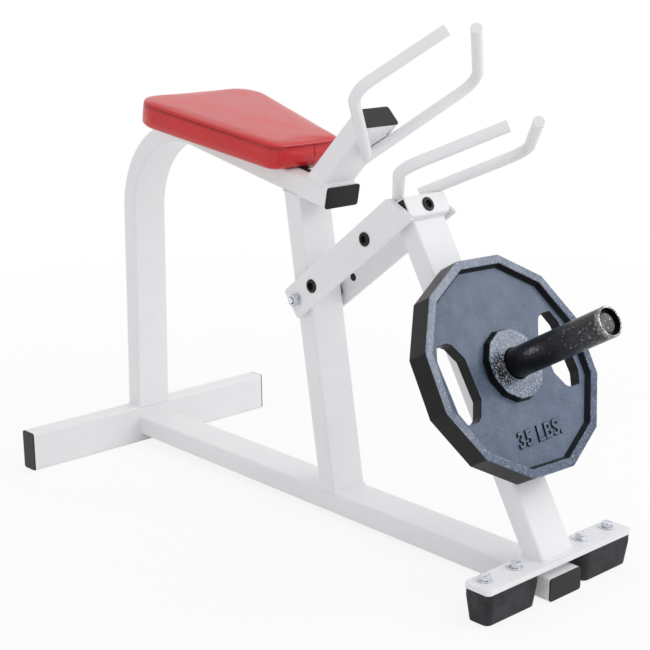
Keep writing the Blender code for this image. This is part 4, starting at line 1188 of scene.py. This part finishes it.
padPlace = machinePlace @ standing(beam["top"], beam["along"], beam["up"])


def padFace(inset, height):
    # the tapered outline with rounded corners, as one face in the pad's own frame
    taper = math.radians(pad["taper"])
    slant = inset / math.cos(taper)
    lean = inset * math.tan(taper)
    rear, front = pad["rear"] + inset, pad["front"] - inset
    rearHalf = pad["rearHalf"] - slant - lean
    frontHalf = pad["rearHalf"] - (pad["front"] - pad["rear"]) * math.tan(taper) - slant + lean
    startSheet((front - rear, 2 * rearHalf), ((rear + front) / 2, 0, height))
    pick("VERT", lambda v: v.co.x > front - 0.001)
    bpy.ops.transform.resize(value=(1, frontHalf / rearHalf, 1), center_override=(front, 0, height))
    for end, radius, angle in ((rear, pad["rearRadius"], 45 - pad["taper"] / 2),
                               (front, pad["frontRadius"], 45 + pad["taper"] / 2)):
        pick("VERT", lambda v: abs(v.co.x - end) < 0.0001)
        bpy.ops.mesh.bevel(offset=(radius - inset) / math.tan(math.radians(angle)), offset_type="ABSOLUTE",
                           segments=10, affect="VERTICES")
    return bpy.context.object


def inflate(cushion):
    # the foam's push against its cover, held at the board
    before = [v.co.copy() for v in cushion.data.vertices]
    held = cushion.vertex_groups.new(name="held")
    held.add([i for i, at in enumerate(before) if at.z < pad["lift"] + pad["held"]], 1.0, "REPLACE")
    bpy.ops.object.modifier_add(type="CLOTH")
    cloth = cushion.modifiers[-1]
    give(cloth.settings, use_pressure=True, uniform_pressure_force=pad["pressure"], vertex_group_mass=held.name,
         tension_stiffness=pad["stiff"], compression_stiffness=pad["stiff"], bending_stiffness=pad["bendStiff"])
    cloth.settings.effector_weights.gravity = 0
    cloth.point_cache.frame_start = 1
    cloth.point_cache.frame_end = pad["frames"]
    for frameNumber in range(1, pad["frames"] + 1):
        scene.frame_set(frameNumber)
    bpy.ops.object.modifier_apply(modifier=cloth.name)
    scene.frame_set(1)
    cushion.vertex_groups.clear()
    for v, start in zip(cushion.data.vertices, before):
        swell = v.co - start
        if swell.length > pad["puff"]:
            v.co = start + swell.normalized() * pad["puff"]


def seamShade(at, normal):
    welt = abs(at.z - pad["seam"]) < 0.0009 and abs(normal.z) < 0.95
    down = abs(at.y - pad["joinSide"]) < 0.0009 and at.x > pad["front"] - 0.01 and at.z < pad["seam"]
    return 0.55 if welt or down else 0.0


def besideJoin(at, top):
    # on the pad's front wall, where its cover is joined
    return at.x > pad["front"] - 0.02 and pad["lift"] + 0.001 < at.z < top


def makeCushion():
    # the closed form of the foam, from its widest line up to the crown and down to the board
    cushion = padFace(0.0002, pad["lift"] + 0.020)
    thicken(z=0.002)
    pick("FACE", lambda f: f.normal.z > 0.99)
    for move in pad["up"]:
        step(*move)
    for share, rise in ((0.6, 0.0003), (0.5, 0.0002)):
        extrude(z=rise)
        bpy.ops.transform.resize(value=(share, share, 1))
    pick("FACE", lambda f: f.normal.z < -0.99)
    for move in pad["down"]:
        step(*move)
    mode("OBJECT")
    cushion.data.remesh_voxel_size = pad["grid"] * 1
    bpy.ops.object.voxel_remesh()
    inflate(cushion)
    modify("SUBSURF", levels=1)
    # seams: a cut line, drawn in by its stitches
    mode("EDIT")
    pick("FACE", lambda f: f.calc_center_median().z > pad["crown"] - 0.0004)
    bpy.ops.mesh.vertices_smooth(factor=0.5, repeat=12)
    for shift in (-pad["seamHalf"], 0, pad["seamHalf"]):
        slicePlane((0, 0, pad["seam"] + shift), zAxis, waste=False)
    pick("VERT", lambda v: abs(v.co.z - pad["seam"]) < 0.00002)
    bpy.ops.transform.shrink_fatten(value=-pad["seamDeep"])
    for shift in (-pad["joinHalf"], 0, pad["joinHalf"]):
        pick("FACE", lambda f: besideJoin(f.calc_center_median(), pad["seam"]) and
             abs(f.calc_center_median().y - pad["joinSide"]) < 0.012)
        bpy.ops.mesh.bisect(plane_co=(0, pad["joinSide"] + shift, 0), plane_no=yAxis)
    pick("VERT", lambda v: besideJoin(v.co, pad["seam"] - 0.0005) and abs(v.co.y - pad["joinSide"]) < 0.00002)
    bpy.ops.transform.shrink_fatten(value=-pad["joinDeep"])
    markWearAndShade(seamShade)
    return finishPiece("padCushion", "frame", "red_vinyl", ["seat_pad"], place=None, smooth=70, weigh=False)


def rimPoints(inset, gap):
    # evenly spaced points round the outline, with the way that it runs at each
    face = padFace(inset, 0)
    mode("OBJECT")
    loop = [face.data.vertices[i].co.copy() for i in face.data.polygons[0].vertices]
    bpy.data.objects.remove(face, do_unlink=True)
    edges = list(zip(loop, loop[1:] + loop[:1]))
    total = sum((b - a).length for a, b in edges)
    count = int(total / gap)
    found = []
    walked = 0.0
    for a, b in edges:
        length = (b - a).length
        while len(found) < count and total * len(found) / count <= walked + length:
            share = (total * len(found) / count - walked) / length
            found.append((a.lerp(b, share), (b - a).normalized()))
        walked += length
    return found


def spread(name, slotName, places, place, look=None):
    # many small copies of the active object in one piece
    mode("OBJECT")
    master = bpy.context.object
    joined = bmesh.new()
    for at in places:
        first = len(joined.verts)
        joined.from_mesh(master.data)
        joined.verts.ensure_lookup_table()
        bmesh.ops.transform(joined, matrix=at, verts=joined.verts[first:])
    joined.to_mesh(master.data)
    joined.free()
    return finishPiece(name, "frame", slotName, place=place, smooth=50, weigh=False, look=look)


def makeStitches(cushion):
    # one row of thread above the welt and one below it
    rows = []
    for name, height in (("stitchesTop", pad["seam"] + stitch["away"]), ("stitchesSide", pad["seam"] - stitch["away"])):
        places = []
        for at, ahead in rimPoints(0.0, stitch["gap"]):
            hit, spotOn, normal = cushion.closest_point_on_mesh(Vector((at.x, at.y, height)))[:3]
            if hit:
                places.append(standing(spotOn - normal * stitch["sunk"], ahead, normal))
        startRound(stitch["radius"], -stitch["half"], stitch["half"], 8)
        for sign in (-1, 1):
            endFace(sign)
            step(*stitch["end"])
        rows.append(spread(name, "red_vinyl", places, None, "thread"))
    return rows


def makePadUnder():
    # the board inside, the cover folded under its edge and the staples that hold it
    padFace(under["board"], pad["lift"] + 0.0009)
    thicken(z=under["boardThick"])
    soften(0.0008)
    finishPiece("padBoard", "frame", "plywood", place=padPlace)
    padFace(under["hem"], pad["lift"])
    thicken(z=under["hemThick"])
    pick("FACE", lambda f: abs(f.normal.z) > 0.99)
    step(under["hemWide"])
    bpy.ops.mesh.bridge_edge_loops()
    soften(0.0004)
    finishPiece("padHem", "frame", "red_vinyl", place=padPlace)
    places = [standing(Vector((at.x, at.y, pad["lift"] - 0.0001)), ahead, -zAxis)
              for at, ahead in rimPoints(under["staples"], under["stapleGap"])]
    startBox(under["staple"])
    roundEdges(runsAlong(xAxis), 0.0002, 2)
    spread("padStaples", "zinc_steel", places, padPlace)


bracket = {"width": 0.018, "thick": 0.0024, "corner": 0.005, "rear": (0.215, 0.265), "front": (0.385, 0.497),
           "screw": 0.486, "screwHead": 0.005, "bolts": (0.240, 0.410), "bolt": 0.004, "flats": 0.013,
           "boltHead": 0.0053, "dome": ((0.0006, 0.0008), (0.0014, 0.0006)), "slot": (0.003, 0.0048, 0.0009)}


def makePadFixings():
    for end in ("Rear", "Front"):
        start, stop = bracket[end.lower()]
        startBox((stop - start, bracket["width"], bracket["thick"]),
                 moved((start + stop) / 2, 0, stock["gap"] + bracket["thick"] / 2))
        roundEdges(runsAlong(zAxis), bracket["corner"], 5)
        soften(0.0005)
        finishPiece("padBracket" + end, "frame", "black_steel", place=padPlace)
    screw = startRound(bracket["screwHead"], 0, 0.0012, 32)
    endFace(1)
    for move in bracket["dome"]:
        step(*move)
    endFace(-1)
    step(0.0025)
    extrude(-0.007)
    for turn in (0, 90):
        # the crossed slot of the driver
        startBox(bracket["slot"], turned(turn, "X") @ moved(0.003))
        cutWith(screw)
    settle(standing(Vector((bracket["screw"], 0, pad["lift"])), zAxis, xAxis))
    finishPiece("padBracketScrew", "frame", "zinc_steel", place=padPlace, smooth=30)
    hexHead(bracket["flats"], bracket["boltHead"])
    growShank(bracket["flats"], bracket["bolt"], stock["narrow"] + pad["lift"] + 0.008)
    below = beam["top"] - beam["up"] * (stock["narrow"] + stock["gap"])
    setCopies("frame", "zinc_steel", [("padBolt" + end, standing(below + beam["along"] * station, -beam["up"], yAxis))
                                      for end, station in zip(("Rear", "Front"), bracket["bolts"])])


# the cushion and its thread are finished in the pad's own frame and carried to their place together
cushion = makeCushion()
rows = makeStitches(cushion)
for piece in (cushion, *rows):
    piece.data.transform(padPlace)
makePadUnder()
makePadFixings()
print("seat pad made")

# each layer of the figure: how far it stands out, how much wider than its line it is, and its bevel
figure = {"words": "35 LBS.", "height": 0.034, "below": 0.115, "lean": 0.18, "spacing": 1.05,
          "fillet": (0.0003, 0.0013, 0.0002), "letters": (0.0023, 0.0006, 0.0004)}


def makeFigure():
    # raised letters, and the low fillet that the mould leaves round their feet; the fillet is coloured near black all
    # round, partly unrubbed enamel and partly painted shade for the letters' shadows
    layers = []
    for layer in ("fillet", "letters"):
        letGo()
        bpy.ops.object.text_add()
        stand, widen, edge = figure[layer]
        give(bpy.context.object.data, body=figure["words"], size=figure["height"], align_x="CENTER", align_y="CENTER",
             shear=figure["lean"], space_character=figure["spacing"], extrude=stand, offset=widen, bevel_depth=edge,
             bevel_resolution=1, resolution_u=6)
        bpy.ops.object.convert(target="MESH")
        layers.append(bpy.context.object)
    for layer in layers:
        layer.select_set(True)
    bpy.ops.object.join()
    web = plate["face"] - plate["recess"]
    spin = turned(plate["twist"], lever["out"])
    at = hornRoot + lever["out"] * (web + 0.0002) + spin @ (-lever["along"] * figure["below"])
    axes = Matrix((spin @ yAxis, spin @ lever["along"], lever["out"])).transposed().to_4x4()
    settle(Matrix.Translation(at) @ axes)
    mode("EDIT")
    mend(0.00002)
    top = (hornRoot + lever["out"] * (web + figure["letters"][0])).dot(lever["out"])
    # letter tops pale; fillet and sides near black, as painted shade along with unrubbed enamel
    markWearAndShade(lambda at, normal: 0.64 if at.dot(lever["out"]) > top and normal.dot(lever["out"]) > 0.95 else 0.02)
    finishPiece("weightFigure", "weight", "painted_iron", smooth=40, weigh=False)


makeFigure()
print("weight figure made")
